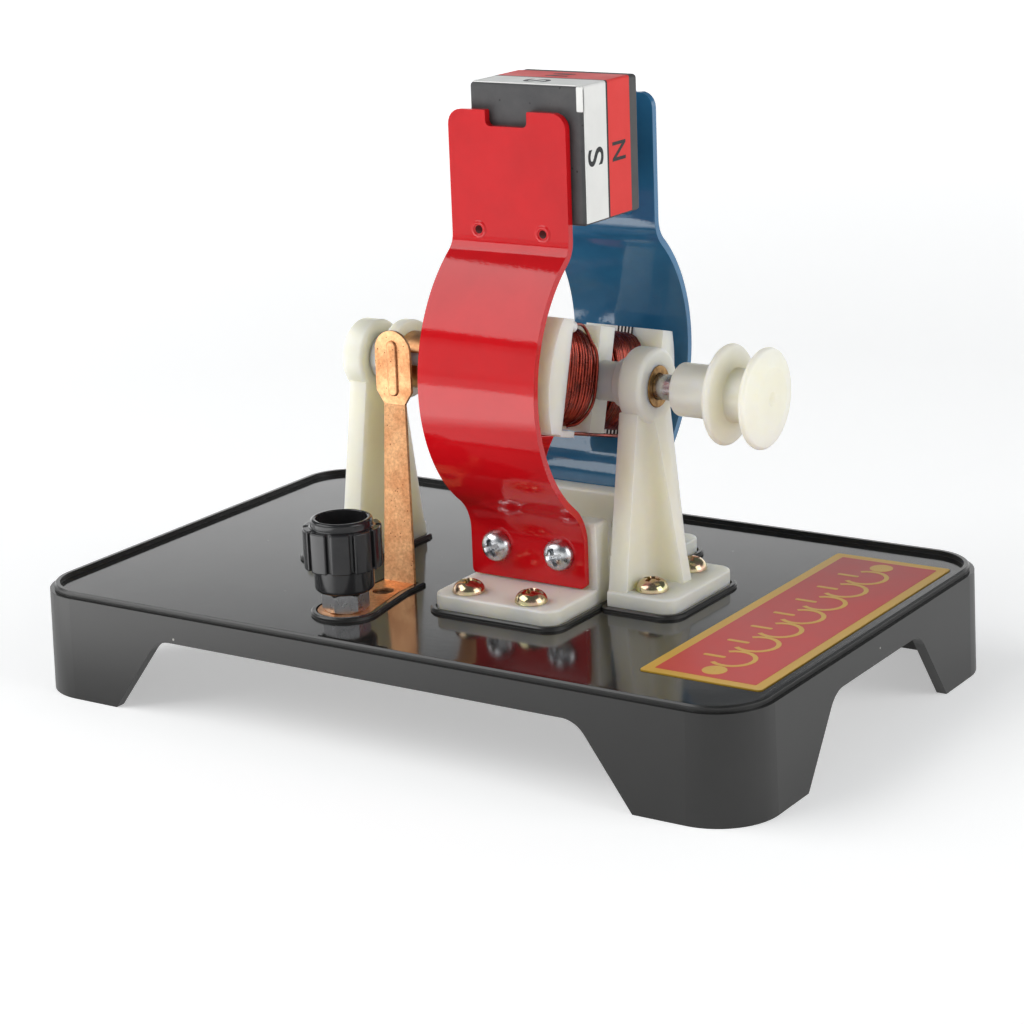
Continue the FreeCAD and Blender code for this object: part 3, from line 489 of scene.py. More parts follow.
def slab(mesh, outline, bottom, top):
    """Flat plate over a closed outline of x, y points."""
    solid_between(mesh, [(x, y, bottom) for x, y in outline], [(x, y, top) for x, y in outline])


def drifting_material(name, tones, scale, amount, rough, bumps, layers=(), **constants):
    """Finish whose tone and polish drift together from patch to patch.

    rough is the lowest and the highest roughness, and bumps the scale and depth of the
    relief. Each of the layers is a group, its socket for the colour under it and its
    values. The constants go to the shader's own sockets, with spaces written as _.
    """
    material, tree, shader = new_material(name)
    for label, value in constants.items():
        shader.inputs[label.replace("_", " ")].default_value = value
    drift = place_group(tree, mottle, Tone=tones[0], Other_Tone=tones[1], Scale=scale, Amount=amount)
    top = drift
    for group, under, values in layers:
        layer = place_group(tree, group, **values)
        link_nodes(tree, (top, "Colour", layer, under))
        top = layer
    polish = band_node(tree, 0.0, 1.0, *rough)
    link_nodes(
        tree,
        (top, "Colour", shader, "Base Color"),
        (drift, "Mask", polish, "Value"),
        (polish, "Result", shader, "Roughness"),
    )
    add_relief(tree, shader, *bumps)
    return material


def foil_material(name, colour, metal):
    faded = tuple(min(1.0, c * 1.25 + 0.02) for c in colour[:3]) + (1,)
    return drifting_material(
        name, (colour, faded), scale=45, amount=0.6, rough=(0.34, 0.48), bumps=(1500, 0.000004),
        Metallic=metal, Specular_IOR_Level=0.3,
    )


def ring_arc(mesh, centre, radius, stroke, start, end, bottom, top, steps=16):
    """Flat bar bent along an arc in the XY plane."""
    outer, inner = [], []
    for step in range(steps + 1):
        angle = start + (end - start) * step / steps
        for points, reach in ((outer, radius + stroke / 2), (inner, radius - stroke / 2)):
            points.append((centre[0] + reach * math.cos(angle), centre[1] + reach * math.sin(angle)))
    slab(mesh, outer + inner[::-1], bottom, top)


def plate_print(low, high):
    """Row of loops, each three quarters of a turn, and a dot at each end."""
    mesh = bmesh.new()
    middle = (low.x + high.x) / 2
    pitch = (high.y - low.y - 4 * loop_radius) / loop_count
    bottom, top = high.z + print_thickness, high.z + 2 * print_thickness
    first = low.y + 2 * loop_radius + pitch / 2
    for index in range(loop_count):
        centre = (middle, first + index * pitch)
        ring_arc(mesh, centre, loop_radius, loop_stroke, -loop_reach, loop_reach, bottom, top)
        bar_low = Vector((middle - bar_start, centre[1] - loop_stroke / 2))
        bar_high = Vector((middle - bar_end, centre[1] + loop_stroke / 2))
        slab(mesh, rounded_outline(bar_low, bar_high, bar_corner, 2), bottom, top)
    for y in (low.y + dot_inset, high.y - dot_inset):
        ring_arc(mesh, (middle, y), dot_radius, dot_stroke, 0, dot_reach, bottom, top)
    return mesh


def add_nameplate():
    low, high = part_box("nameplate")
    gold, red = foil_material("gold_foil", plate_gold, 0.35), foil_material("red_print", plate_red, 0.0)
    sheet = bmesh.new()
    slab(sheet, rounded_outline(low, high, plate_corner), low.z, high.z)
    plate = add_piece("nameplate_foil", sheet, gold, "motor_frame", False)
    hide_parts("nameplate")
    inset = Vector((gold_border, gold_border, 0))
    field = bmesh.new()
    field_outline = rounded_outline(low + inset, high - inset, field_corner, 2)
    slab(field, field_outline, high.z, high.z + print_thickness)
    add_piece("nameplate_red_field", field, red, "motor_frame", False)
    winding = plate_print(low, high)
    add_piece("nameplate_winding_print", winding, gold, "motor_frame", False)


add_nameplate()

# ---- Bearing supports, bracket and bushes
# Moulded in ivory nylon, a little translucent and yellow in the shade, with soft
# edges and a few burnt specks. Sintered bronze bushes are pressed into the bosses.
ivory, ivory_shade, burnt_speck = tint(233, 230, 215), tint(227, 222, 200), tint(96, 74, 52)
nylon_rounding, fine_rounding = 0.0005, 0.0002
axis_y, axis_z = 0.0028, 0.0633

nylon = drifting_material(
    "ivory_nylon", (ivory, ivory_shade), scale=55, amount=0.7, rough=(0.3, 0.42), bumps=(260, 0.00002),
    layers=[(specks, "Ground", {"Speck": burnt_speck, "Scale": 420, "Share": 0.012, "Size": 0.11})],
    IOR=1.5, Subsurface_Weight=0.85, Subsurface_Radius=(0.010, 0.0088, 0.0056), Subsurface_Scale=1.0,
)


def metal_material(name, tones, rough, scale, relief_depth=0.000004):
    """Bare or plated metal whose tone and polish drift over its surface."""
    bumps = (scale * 4, relief_depth)
    return drifting_material(name, tones, scale, amount=0.9, rough=rough, bumps=bumps, Metallic=1.0)


bronze = metal_material("bronze", (tint(176, 138, 86), tint(120, 84, 48)), (0.35, 0.55), scale=900)
for name in ("support_right", "support_left", "pole_bracket"):
    dress(name, nylon, nylon_rounding)
for name in ("bush_right", "bush_left"):
    dress(name, bronze, fine_rounding, 2)

# ---- Screws
# Pan-headed M3 screws with a cross recess: eight yellow-zinc ones hold the feet,
# and four bright-zinc ones hold the pole strips to the bracket.
head_radius, head_height = 0.00325, 0.00245
dome_power, dome_start, dome_step = 0.78, 3, 8.4
seat_below_top = 0.0023
shank_radius, tip_radius, root_radius = 0.0015, 0.0015 * 0.7, 0.0015 * 0.8
thread_pitch, tip_length, plain_length = 0.0005, 0.0003, 0.001
under_head = 0.0001
recess_reach, recess_width, recess_depth = 0.0023, 0.00115, 0.0013
floor_reach, floor_half = recess_reach * 0.5, recess_width * 0.3
core_floor, core_mouth = recess_width * 0.4, recess_width * 0.95
tool_overrun = 0.0005
cross_turn, turn_step = math.radians(24), 1.7


def turned_shape(mesh, profile, sides=48):
    """Turns a profile of (radius, height) points about Z and closes both ends."""
    rings = turned_rings(mesh, profile, sides)
    mesh.faces.new(rings[0][::-1])
    mesh.faces.new(rings[-1])


def screw_profile(length):
    """Rolled thread, neck, domed head: from the tip up to the crown."""
    points = [(tip_radius, -length)]
    for index in range(int((length - plain_length) / thread_pitch)):
        height = -length + tip_length + index * thread_pitch
        points += [(root_radius, height), (shank_radius, height + thread_pitch / 2)]
    points += [(shank_radius, -under_head), (shank_radius, 0.0), (head_radius - under_head, 0.0)]
    for step in range(11):
        angle = math.radians(dome_step * step + dome_start)
        points.append((head_radius * math.cos(angle) ** dome_power, head_height * math.sin(angle)))
    return points


def cross_cutter():
    """Tapered four-winged tool that leaves the driver's recess."""
    mesh = bmesh.new()
    low_z, high_z = head_height - recess_depth, head_height + tool_overrun
    tool_ends = ((low_z, floor_reach, floor_half), (high_z, recess_reach, recess_width / 2))
    for angle in (0, math.pi / 2):
        across, along = math.cos(angle), math.sin(angle)
        outlines = []
        for height, reach, half in tool_ends:
            corners = ((-reach, -half), (reach, -half), (reach, half), (-reach, half))
            outlines.append([(x * across - y * along, x * along + y * across, height) for x, y in corners])
        solid_between(mesh, *outlines)
    turned_shape(mesh, [(core_floor, low_z), (core_mouth, high_z)], 8)
    return mesh


def cut_mesh(body, tools):
    """The body's mesh with each tool cut from it; both are used up."""
    for tool in tools:
        step = body.modifiers.new("cut", "BOOLEAN")
        step.operation = "DIFFERENCE"
        step.solver = "EXACT"
        step.use_self = True
        step.object = tool
    bpy.context.view_layer.update()
    shape = bpy.data.meshes.new_from_object(body.evaluated_get(bpy.context.evaluated_depsgraph_get()))
    for thing in [body] + list(tools):
        bpy.data.objects.remove(thing)
    return shape


def screw_shape(length):
    mesh = bmesh.new()
    turned_shape(mesh, screw_profile(length))
    return cut_mesh(bare_object("screw_blank", mesh), [bare_object("cross_tool", cross_cutter())])


def node_solids(name):
    """Lowest and highest corner of each separate solid of a CAD node."""
    mesh = bmesh.new()
    mesh.from_mesh(nodes[name].data)
    bmesh.ops.remove_doubles(mesh, verts=mesh.verts, dist=touching)
    boxes, left = [], set(mesh.verts)
    while left:
        group, queue = [], [left.pop()]
        while queue:
            vert = queue.pop()
            group.append(vert.co.copy())
            for edge in vert.link_edges:
                other = edge.other_vert(vert)
                if other in left:
                    left.remove(other)
                    queue.append(other)
        low = Vector([min(point[i] for point in group) for i in range(3)])
        high = Vector([max(point[i] for point in group) for i in range(3)])
        boxes.append((low, high))
    mesh.free()
    return sorted(boxes, key=lambda pair: tuple(round(c, 5) for c in pair[0]))


def by_angle(piece, degrees=35):
    """Breaks the smooth shading at sharp edges."""
    piece.data.set_sharp_from_angle(angle=math.radians(degrees))


def add_screws(node, material):
    """One detailed screw for each solid of the node, heads where the node has them."""
    shapes = {}
    for index, (low, high) in enumerate(node_solids(node)):
        size = high - low
        axis = max(range(3), key=lambda i: size[i])
        length = round(size[axis] - seat_below_top, 5)
        if length not in shapes:
            shapes[length] = screw_shape(length)
        seat, tilt = (low + high) / 2, 0.0
        if axis == 2:
            seat.z = high.z - seat_below_top
        elif seat.y > axis_y:
            seat.y, tilt = high.y - seat_below_top, -math.pi / 2
        else:
            seat.y, tilt = low.y + seat_below_top, math.pi / 2
        twist = Matrix.Rotation(cross_turn * (1 + turn_step * index), 4, "Z")
        mesh = bmesh.new()
        mesh.from_mesh(shapes[length])
        put(mesh, Matrix.Translation(seat) @ Matrix.Rotation(tilt, 4, "X") @ twist)
        screw = add_piece(f"{node[:-1]}_{index + 1}", mesh, material, "motor_frame")
        by_angle(screw)
        if index == 0:
            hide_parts(node)


yellow_tones = tint(190, 188, 140), tint(204, 154, 146)
bright_tones = tint(222, 224, 226), tint(170, 172, 176)
yellow_zinc = metal_material("yellow_zinc", yellow_tones, (0.14, 0.28), scale=420)
bright_zinc = metal_material("bright_zinc", bright_tones, (0.2, 0.36), scale=500)
add_screws("foot_screws", yellow_zinc)
add_screws("pole_screws", bright_zinc)

# ---- Pole strips
# Mild steel strip, cut flat with its notch and holes, bent by hand round the
# armature and stove-enamelled, red in front and blue behind. The thick glossy
# enamel has an orange-peel surface and round edges.
red_paint, red_deep = tint(194, 16, 24), tint(180, 13, 20)
blue_paint, blue_deep = tint(52, 112, 152), tint(42, 98, 138)
# The pit tone is painted shade: a dark disc laid in each dent stands in for the shade inside it.
pit_shade_tone = tint(58, 12, 12)
red_gloss, blue_gloss, pit_gloss = 0.38, 0.6, 0.08
enamel_rounding = 0.00045
strip_thickness, fixing_hole_radius, drill_depth = 0.0015, 0.0016, 0.00225
foot_gap, head_gap = 0.0125, 0.0146
head_corner, foot_corner = 0.003, 0.001
notch_start, notch_width, notch_depth = 0.0085, 0.0092, 0.003
notch_corner, notch_lip = 0.001, 0.0003
dimple_height, stop_radius, stop_root = 0.0946, 0.0015, 0.0002
dent_radius, dent_depth = 0.0008, 0.0005
pit_radius, pit_floor, pit_depth = 0.00105, 0.000945, 0.00002
dimple_profile = [(0.0019, -0.0001), (0.00175, 0.00001), (0.0014, 0.00015), (0.0012, 0.00017)]
dimple_profile += [(0.00105, 0.0001), (0.00095, -0.0001), (0.0007, -0.0003)]
least_step, bend_steps, arc_steps = 0.000001, 12, 40
strip_width = {"pole_red": 0.0262, "pole_blue": 0.0268}
strip_bow = {
    "pole_red": {"inward": 0.0013, "rise": 0.00234, "radius": 0.03052, "bends": (0.00985, 0.00453)},
    "pole_blue": {"inward": 0.00117, "rise": 0.00287, "radius": 0.02861, "bends": (0.01156, 0.00641)},
}


def enamel_material(name, colour, deep, gloss):
    return drifting_material(
        name, (colour, deep), scale=90, amount=0.8, rough=(0.05, 0.1), bumps=(1500, 0.000013),
        IOR=1.5, Specular_IOR_Level=gloss,
    )


def strip_line(inward, rise, radius, bends, foot_z, head_z):
    """Middle line of a bent strip, foot to head: length so far, way out, height, facing."""
    waist = Vector((-inward, axis_z + rise))
    corners = []
    for gap, bend, sign in ((foot_gap, bends[0], -1), (head_gap, bends[1], 1)):
        out = gap + strip_thickness / 2 + bend
        climb = math.sqrt((radius + bend) ** 2 - (out - waist.x) ** 2)
        centre = Vector((out, waist.y + sign * climb))
        corners.append((centre, bend, sign * math.atan2(climb, out - waist.x)))
    (low, low_bend, low_turn), (high, high_bend, high_turn) = corners
    line = [(0.0, low.x - low_bend, foot_z, 0.0)]
    arcs = (
        (low, -low_bend, 0.0, low_turn, bend_steps),
        (waist, radius, low_turn, high_turn, arc_steps),
        (high, -high_bend, high_turn, 0.0, bend_steps),
    )
    for centre, reach, start, end, count in arcs:
        for step in range(count + 1):
            facing = start + (end - start) * step / count
            out, z = centre.x + reach * math.cos(facing), centre.y + reach * math.sin(facing)
            gone = math.hypot(out - line[-1][1], z - line[-1][2])
            if gone > least_step:
                line.append((line[-1][0] + gone, out, z, facing))
    line.append((line[-1][0] + head_z - line[-1][2], line[-1][1], head_z, 0.0))
    return line


def flat_strip(left, right, length, holes):
    """The strip before it is bent: X across, Y from foot to head, notched and drilled."""
    inner, outer = left + notch_start, left + notch_start + notch_width
    low = length - notch_depth
    corners = [(left, 0), (right, 0), (right, length), (outer, length)]
    corners += [(outer, low), (inner, low), (inner, length), (left, length)]
    radii = [foot_corner] * 2 + [head_corner, notch_lip] + [notch_corner] * 2 + [notch_lip, head_corner]
    blank = bmesh.new()
    slab(blank, square_corners(corners, radii), -strip_thickness / 2, strip_thickness / 2)
    tools = []
    for x, y, radius, depth in holes:
        tool = bmesh.new()
        turned_shape(tool, [(radius, strip_thickness / 2 - depth), (radius, strip_thickness)], 32)
        bmesh.ops.translate(tool, vec=(x, y, 0), verts=tool.verts)
        tools.append(bare_object("drill", tool))
    return cut_mesh(bare_object("strip_blank", blank), tools)


def bent_strip(strip, side):
    """The flat strip creased across at each step of its middle line and laid along it."""
    low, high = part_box(strip)
    line = strip_line(foot_z=low.z, head_z=high.z, **strip_bow[strip])
    length = line[-1][0]
    holes = []
    for start, end in node_solids("pole_screws"):
        if (start.y + end.y) / 2 * side > axis_y * side:
            x = (start.x + end.x) / 2
            holes.append((x, (start.z + end.z) / 2 - low.z, fixing_hole_radius, drill_depth))
            holes.append((x, length - (high.z - dimple_height), dent_radius, dent_depth))
    mesh = bmesh.new()
    mesh.from_mesh(flat_strip(low.x, low.x + strip_width[strip], length, holes))
    for gone, *_ in line[1:-1]:
        everything = mesh.verts[:] + mesh.edges[:] + mesh.faces[:]
        bmesh.ops.bisect_plane(mesh, geom=everything, plane_co=(0, gone, 0), plane_no=(0, 1, 0))
    for vert in mesh.verts:
        index = 1
        while index < len(line) - 1 and vert.co.y > line[index][0] + least_step / 2:
            index += 1
        before, after = line[index - 1], line[index]
        share = (vert.co.y - before[0]) / (after[0] - before[0])
        out, z, facing = (a + (b - a) * share for a, b in zip(before[1:], after[1:]))
        out += vert.co.z * math.cos(facing)
        vert.co = (vert.co.x, axis_y + side * out, z + vert.co.z * math.sin(facing))
    return mesh


def add_dimples(strip, enamel, side):
    """Crater with a raised lip at each stop, a dark disc of painted shade in its pit, and a dome inside.
    """
    face_y = axis_y + side * (head_gap + strip_thickness)
    turn = Matrix.Rotation(-side * math.pi / 2, 4, "X")
    places = {round((start.x + end.x) / 2, 5) for start, end in node_solids("pole_screws")}
    for index, x in enumerate(sorted(places)):
        matrix = Matrix.Translation((x, face_y, dimple_height)) @ turn
        lip, pit, dome, bulge = bmesh.new(), bmesh.new(), bmesh.new(), []
        turned_shape(lip, dimple_profile)
        turned_shape(pit, [(pit_radius, -pit_depth * 2), (pit_floor, -pit_depth)], 24)
        for degrees in range(80, -1, -10):
            angle = math.radians(degrees)
            bulge.append((stop_radius * math.cos(angle), -strip_thickness - stop_radius * math.sin(angle)))
        turned_shape(dome, bulge + [(stop_radius, stop_root - strip_thickness)])
        parts = ("dimple", lip, enamel), ("pit", pit, pit_shade_paint), ("stop", dome, enamel)
        for name, mesh, material in parts:
            add_piece(f"{strip}_{name}_{index + 1}", put(mesh, matrix), material, "motor_frame")


# Painted shade for the inside of each dent, on a disc of its own.
pit_shade_paint = enamel_material("painted_pit_shade", pit_shade_tone, pit_shade_tone, pit_gloss)
for strip, slot, side, colour, deep, gloss in (
    ("pole_red", "red_enamel", -1, red_paint, red_deep, red_gloss),
    ("pole_blue", "blue_enamel", 1, blue_paint, blue_deep, blue_gloss),
):
    enamel = enamel_material(slot, colour, deep, gloss)
    piece = add_piece(strip + "_strip", bent_strip(strip, side), enamel, "motor_frame")
    soften_edges(piece, enamel_rounding)
    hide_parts(strip)
    add_dimples(strip, enamel, side)

# ---- Field magnet
# A pressed ferrite block with ground faces. A printed paper strip, white for the
# south end and red for the north, wraps over its top and right-hand face.
ferrite_tone, ferrite_dust = tint(52, 52, 54), tint(84, 83, 82)
paper_white, paper_red, ink_black = tint(224, 224, 221), tint(214, 48, 44), (0.02, 0.02, 0.022, 1)
chip_black = (0.01, 0.01, 0.01, 1)
block_rounding = 0.0003
letter_size, letter_weight, letter_drop, ink_thickness = 0.0066, 0.00009, 0.0008, 0.00002
letter_shapes = (("S", 1.24, 1.14), ("N", 0.84, 1.02))
paper_bend, paper_embedded = 0.0004, 0.0003
white_width, bare_edge, line_width, line_raise = 0.0076, 0.0016, 0.0006, 0.00001
fold_half_width, fold_length, fold_corner, fold_thickness = 0.0007, 0.0046, 0.0002, 0.00008
fold_out, fold_drop = 0.00046, 0.0048

ferrite = drifting_material(
    "ferrite", (ferrite_tone, ferrite_dust), scale=180, amount=0.5, rough=(0.55, 0.75),
    bumps=(1400, 0.00002),
    layers=[(specks, "Ground", {"Speck": chip_black, "Scale": 900, "Share": 0.1, "Size": 0.2})],
)


def paper_material(name, colour):
    faded = tuple(c * 0.9 for c in colour[:3]) + (1,)
    return drifting_material(
        name, (colour, faded), scale=120, amount=0.7, rough=(0.4, 0.55), bumps=(2200, 0.000003),
        Specular_IOR_Level=0.2,
    )


def wrapped_strip(front, back, raise_by=0.0):
    """Paper between two y values, over the top and down the right face of the magnet."""
    low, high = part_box("magnet_label")
    block_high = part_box("magnet_block")[1]
    outer_x, outer_z = high.x + raise_by, high.z + raise_by
    inner_x, inner_z = block_high.x - paper_embedded, block_high.z - paper_embedded
    chamfer = paper_bend * 0.3
    outline = [(low.x, outer_z), (outer_x - paper_bend, outer_z), (outer_x - chamfer, outer_z - chamfer)]
    outline += [(outer_x, outer_z - paper_bend), (outer_x, low.z)]
    outline += [(inner_x, low.z), (inner_x, inner_z), (low.x, inner_z)]
    mesh = bmesh.new()
    solid_between(mesh, [(x, front, z) for x, z in outline], [(x, back, z) for x, z in outline])
    return mesh


def add_letter(name, letter, stretch, place, turn, material):
    curve = bpy.data.curves.new(name, "FONT")
    curve.body = letter
    curve.size = letter_size
    curve.extrude = ink_thickness
    curve.offset = letter_weight
    curve.align_x, curve.align_y = "CENTER", "CENTER"
    curve.materials.append(material)
    text = bpy.data.objects.new(name, curve)
    text.matrix_world = Matrix.Translation(place) @ turn @ Matrix.Diagonal((*stretch, 1, 1))
    scene.collection.objects.link(text)
    bpy.context.view_layer.update()
    shape = bpy.data.meshes.new_from_object(text)
    shape.transform(text.matrix_world)
    bpy.data.objects.remove(text)
    piece = bpy.data.objects.new(name, shape)
    scene.collection.objects.link(piece)
    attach(piece, "magnet")


def add_label():
    low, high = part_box("magnet_label")
    split, red_end = low.y + white_width, high.y - bare_edge
    red_start = split + line_width
    white, red = paper_material("white_paper", paper_white), paper_material("red_paper", paper_red)
    ink = paper_material("black_ink", ink_black)
    south = wrapped_strip(low.y, split)
    south = add_piece("label_south_white", south, white, "magnet", False)
    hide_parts("magnet_label")
    north = wrapped_strip(red_start, red_end)
    add_piece("label_north_red", north, red, "magnet", False)
    line = wrapped_strip(split, red_start, line_raise)
    add_piece("label_dividing_line", line, ink, "magnet", False)
    to_right = Matrix.Rotation(math.pi / 2, 4, "Y") @ Matrix.Rotation(math.pi, 4, "Z")
    middle_z = (low.z + high.z) / 2 - letter_drop
    flat = Matrix.Rotation(math.pi / 2, 4, "Z")
    for (letter, *stretch), y in zip(letter_shapes, ((low.y + split) / 2, (red_start + red_end) / 2)):
        side, top = Vector((high.x, y, middle_z)), Vector(((low.x + high.x) / 2, y, high.z))
        add_letter(f"letter_{letter.lower()}_side", letter, stretch, side, to_right, ink)
        add_letter(f"letter_{letter.lower()}_top", letter, stretch, top, flat, ink)
    fold = bmesh.new()
    fold_low, fold_high = Vector((-fold_half_width, 0)), Vector((fold_half_width, fold_length))
    slab(fold, rounded_outline(fold_low, fold_high, fold_corner, 2), 0, fold_thickness)
    corner = Matrix.Translation((high.x - fold_half_width, low.y - fold_out, high.z - fold_drop))
    put(fold, corner @ Matrix.Rotation(math.pi / 2, 4, "X"))
    add_piece("label_folded_end", fold, white, "magnet", False)


dress("magnet_block", ferrite, block_rounding, 2)
add_label()

# ---- Armature iron and former
# Five soft-iron stampings, hidden but for their edges, inside a white moulding
# with two broad curved flanges that keep the windings in place.
stamping_pitch, stamping_start, bright_share = 0.0008, 0.01365, 0.42
stamping_edge, stamping_dark = tint(208, 206, 202), tint(34, 32, 32)
former_rounding = 0.0003


def stamping_material():
    """Iron whose sheared edges show a bright and a dark line on each stamping."""
    material, tree, shader = new_material("core_iron")
    shader.inputs["Metallic"].default_value = 0.6
    shader.inputs["Roughness"].default_value = 0.45
    place = tree.nodes.new("ShaderNodeTexCoord")
    apart = tree.nodes.new("ShaderNodeSeparateXYZ")
    along = math_node(tree, "SUBTRACT", stamping_start)
    count = math_node(tree, "DIVIDE", stamping_pitch)
    share = math_node(tree, "FRACT")
    bright = math_node(tree, "LESS_THAN", bright_share)
    mix = mix_node(tree)
    mix.inputs["A"].default_value = stamping_dark
    mix.inputs["B"].default_value = stamping_edge
    link_nodes(
        tree,
        (place, "Object", apart, "Vector"),
        (apart, "X", along, 0),
        (along, 0, count, 0),
        (count, 0, share, 0),
        (share, 0, bright, 0),
        (bright, 0, mix, "Factor"),
        (mix, "Result", shader, "Base Color"),
    )
    add_relief(tree, shader, scale=1500, depth=0.00001)
    return material


dress("core_laminations", stamping_material())
dress("armature_former", nylon, former_rounding)

# ---- Windings
# Enamelled copper wire wound by hand in two layers on each arm: the turns lie
# side by side, bulge at the corners and wander a little.
wire_radius, wire_turns, turn_steps = 0.00038, 17, 36
inner_inset, outer_inset, loose_radius = 3 * wire_radius, 1.25 * wire_radius, wire_radius * 0.85
inner_phase, outer_phase = 0.1, 0.35
rest_tilt = math.radians(-15)
coil_middle_x = 0.0156
coil_half_width, coil_half_height = 0.0059, 0.0099
coil_near, coil_far = 0.0033, 0.0166
wire_pitch = (coil_far - coil_near) / wire_turns
outer_near, outer_far = coil_near + wire_pitch * 0.8, coil_far - wire_pitch * 0.6
hub_belly, belly_fall = 0.0017, 1.5
bulge_share, sway = 0.012, 0.00009
squareness, squareness_gain = 2.4, 1.0
copper_enamel, copper_enamel_dark = tint(158, 54, 36), tint(66, 18, 12)

enamelled_wire = drifting_material(
    "enamelled_copper", (copper_enamel, copper_enamel_dark), scale=350, amount=0.9, rough=(0.2, 0.34),
    bumps=(900, 0.00001),
    Metallic=0.8, Coat_Weight=0.25, Coat_Roughness=0.15,
)


def tube(mesh, points, radius, sides=8):
    """Round wire swept along points."""
    rings = []
    side_way = None
    for index, point in enumerate(points):
        before, after = points[max(index - 1, 0)], points[min(index + 1, len(points) - 1)]
        along = (after - before).normalized()
        if side_way is None:
            side_way = along.orthogonal().normalized()
        side_way = (side_way - along * side_way.dot(along)).normalized()
        up_way = along.cross(side_way)
        ring = []
        for side in range(sides):
            angle = 2 * math.pi * side / sides
            offset = side_way * math.cos(angle) + up_way * math.sin(angle)
            ring.append(mesh.verts.new(point + offset * radius))
        rings.append(ring)
    join_rings(mesh, rings)
    mesh.faces.new(rings[0][::-1])
    mesh.faces.new(rings[-1])


def wander(index, turn):
    """Small repeatable unevenness of one turn of wire."""
    return math.sin(index * 2.4 + turn * 1.7) * 0.6 + math.sin(index * 5.1 + turn * 0.9) * 0.4


def to_rest(point):
    """From the armature's own axes, arms along Y, to its place at rest."""
    y = point.y * math.cos(rest_tilt) - point.z * math.sin(rest_tilt)
    z = point.y * math.sin(rest_tilt) + point.z * math.cos(rest_tilt)
    return Vector((point.x, axis_y + y, axis_z + z))


def coil_path(side, layer_inset, turns, near, far, phase):
    """Helix of rounded loops round one arm."""
    half_x, half_z = coil_half_width - layer_inset, coil_half_height - layer_inset
    points = []
    for step in range(turns * turn_steps + 1):
        turn, angle = divmod(step / turn_steps + phase, 1.0)
        angle *= 2 * math.pi
        across, up = math.cos(angle), math.sin(angle)
        share = step / (turns * turn_steps)
        power = squareness + squareness_gain * share
        square = (abs(across) ** power + abs(up) ** power) ** (-1 / power)
        square *= 1 + bulge_share * wander(turn, angle)
        belly = hub_belly * (1 - share) ** belly_fall
        x = coil_middle_x + (half_x + belly) * across * square
        along = near + (far - near) * share + sway * wander(turn + 3, 2 * angle)
        points.append(to_rest(Vector((x, side * along, half_z * up * square))))
    return points


def smooth_path(corners, steps=10):
    """Points of a soft curve that passes through every corner."""
    ends = [corners[0] * 2 - corners[1]] + corners + [corners[-1] * 2 - corners[-2]]
    points = []
    for index in range(len(corners) - 1):
        a, b, c, d = ends[index : index + 4]
        for step in range(steps):
            t = step / steps
            slope, bow = (c - a) * t, (a * 2 - b * 5 + c * 4 - d) * t**2
            points.append((b * 2 + slope + bow + (b * 3 - a - c * 3 + d) * t**3) / 2)
    return points + [corners[-1]]


def loose_end():
    """Last turn of the front coil, from the peg over the top and down beside the hub."""
    right, top = coil_middle_x + coil_half_width + hub_belly, coil_half_height
    corners = [
        (right - 0.0005, 0.0152, top - 0.0004),
        (right - 0.001, 0.012, top + 0.0003),
        (right - 0.0012, 0.009, top - 0.0001),
        (right - 0.0005, 0.0068, top - 0.0028),
        (right + 0.0001, 0.0053, 0.0048),
        (right + 0.00025, 0.0047, 0.0),
        (right + 0.0001, 0.0051, -0.005),
        (right - 0.0018, 0.006, 0.0014 - top),
        (right - 0.004, 0.007, 0.0003 - top),
    ]
    return [to_rest(point) for point in smooth_path([Vector((x, -y, z)) for x, y, z in corners])]


def add_coil(name, side, material):
    mesh = bmesh.new()
    inner = coil_path(side, inner_inset, wire_turns, coil_near, coil_far, inner_phase)
    outer = coil_path(side, outer_inset, wire_turns - 2, outer_near, outer_far, outer_phase)
    tube(mesh, inner, wire_radius)
    tube(mesh, outer, wire_radius)
    if side < 0:
        tube(mesh, loose_end(), loose_radius)
    coil = add_piece(name + "_wire", mesh, material, "rotor")
    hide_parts(name)


add_coil("coil_front", -1, enamelled_wire)
add_coil("coil_back", 1, enamelled_wire)
dress("crossing_wires", enamelled_wire)
dress("lead_wires", enamelled_wire)

# ---- Commutator
# Two half shells of copper pressed on a white moulding with a broad end disc. The
# copper drifts between a bright and a browned tone.
commutator_tones = tint(214, 166, 122), tint(160, 108, 70)
commutator_copper = metal_material("commutator_copper", commutator_tones, (0.28, 0.46), scale=260)
for name in ("segment_upper", "segment_lower"):
    dress(name, commutator_copper, fine_rounding, 2)
dress("commutator_insulator", nylon, fine_rounding)

# ---- Shaft and pulley
# A ground steel shaft runs in the bushes. The pulley is turned from ivory nylon,
# two thin flanges with a V between them, and is pressed on the shaft's end.
steel_tones = tint(196, 196, 198), tint(138, 134, 132)
plain_steel = metal_material("plain_steel", steel_tones, (0.18, 0.4), scale=350)
dress("shaft", plain_steel)
dress("pulley", nylon, fine_rounding)

# ---- Brushes
# Springy copper strip, pressed to a rounded pad with a bead, bent up from the foot
# and clamped under the binding post. The copper is mottled with small dark pits.
copper_bright, copper_brown, pit_brown = tint(230, 178, 130), tint(200, 136, 90), tint(108, 60, 36)
rolling_stretch = (1, 1, 0.35)
brush_rounding = 0.00018

copper_strip = drifting_material(
    "copper_strip", (copper_bright, copper_brown), scale=210, amount=0.8, rough=(0.42, 0.58),
    bumps=(1300, 0.000016, rolling_stretch),
    layers=[
        (mottle, "Tone", {"Other_Tone": pit_brown, "Scale": 1700, "Amount": 0.42}),
        (specks, "Ground", {"Speck": pit_brown, "Scale": 1700, "Share": 0.14, "Size": 0.22}),
    ],
    Metallic=1.0,
)
for name in ("brush_front", "brush_back"):
    dress(name, copper_strip, brush_rounding, 2)

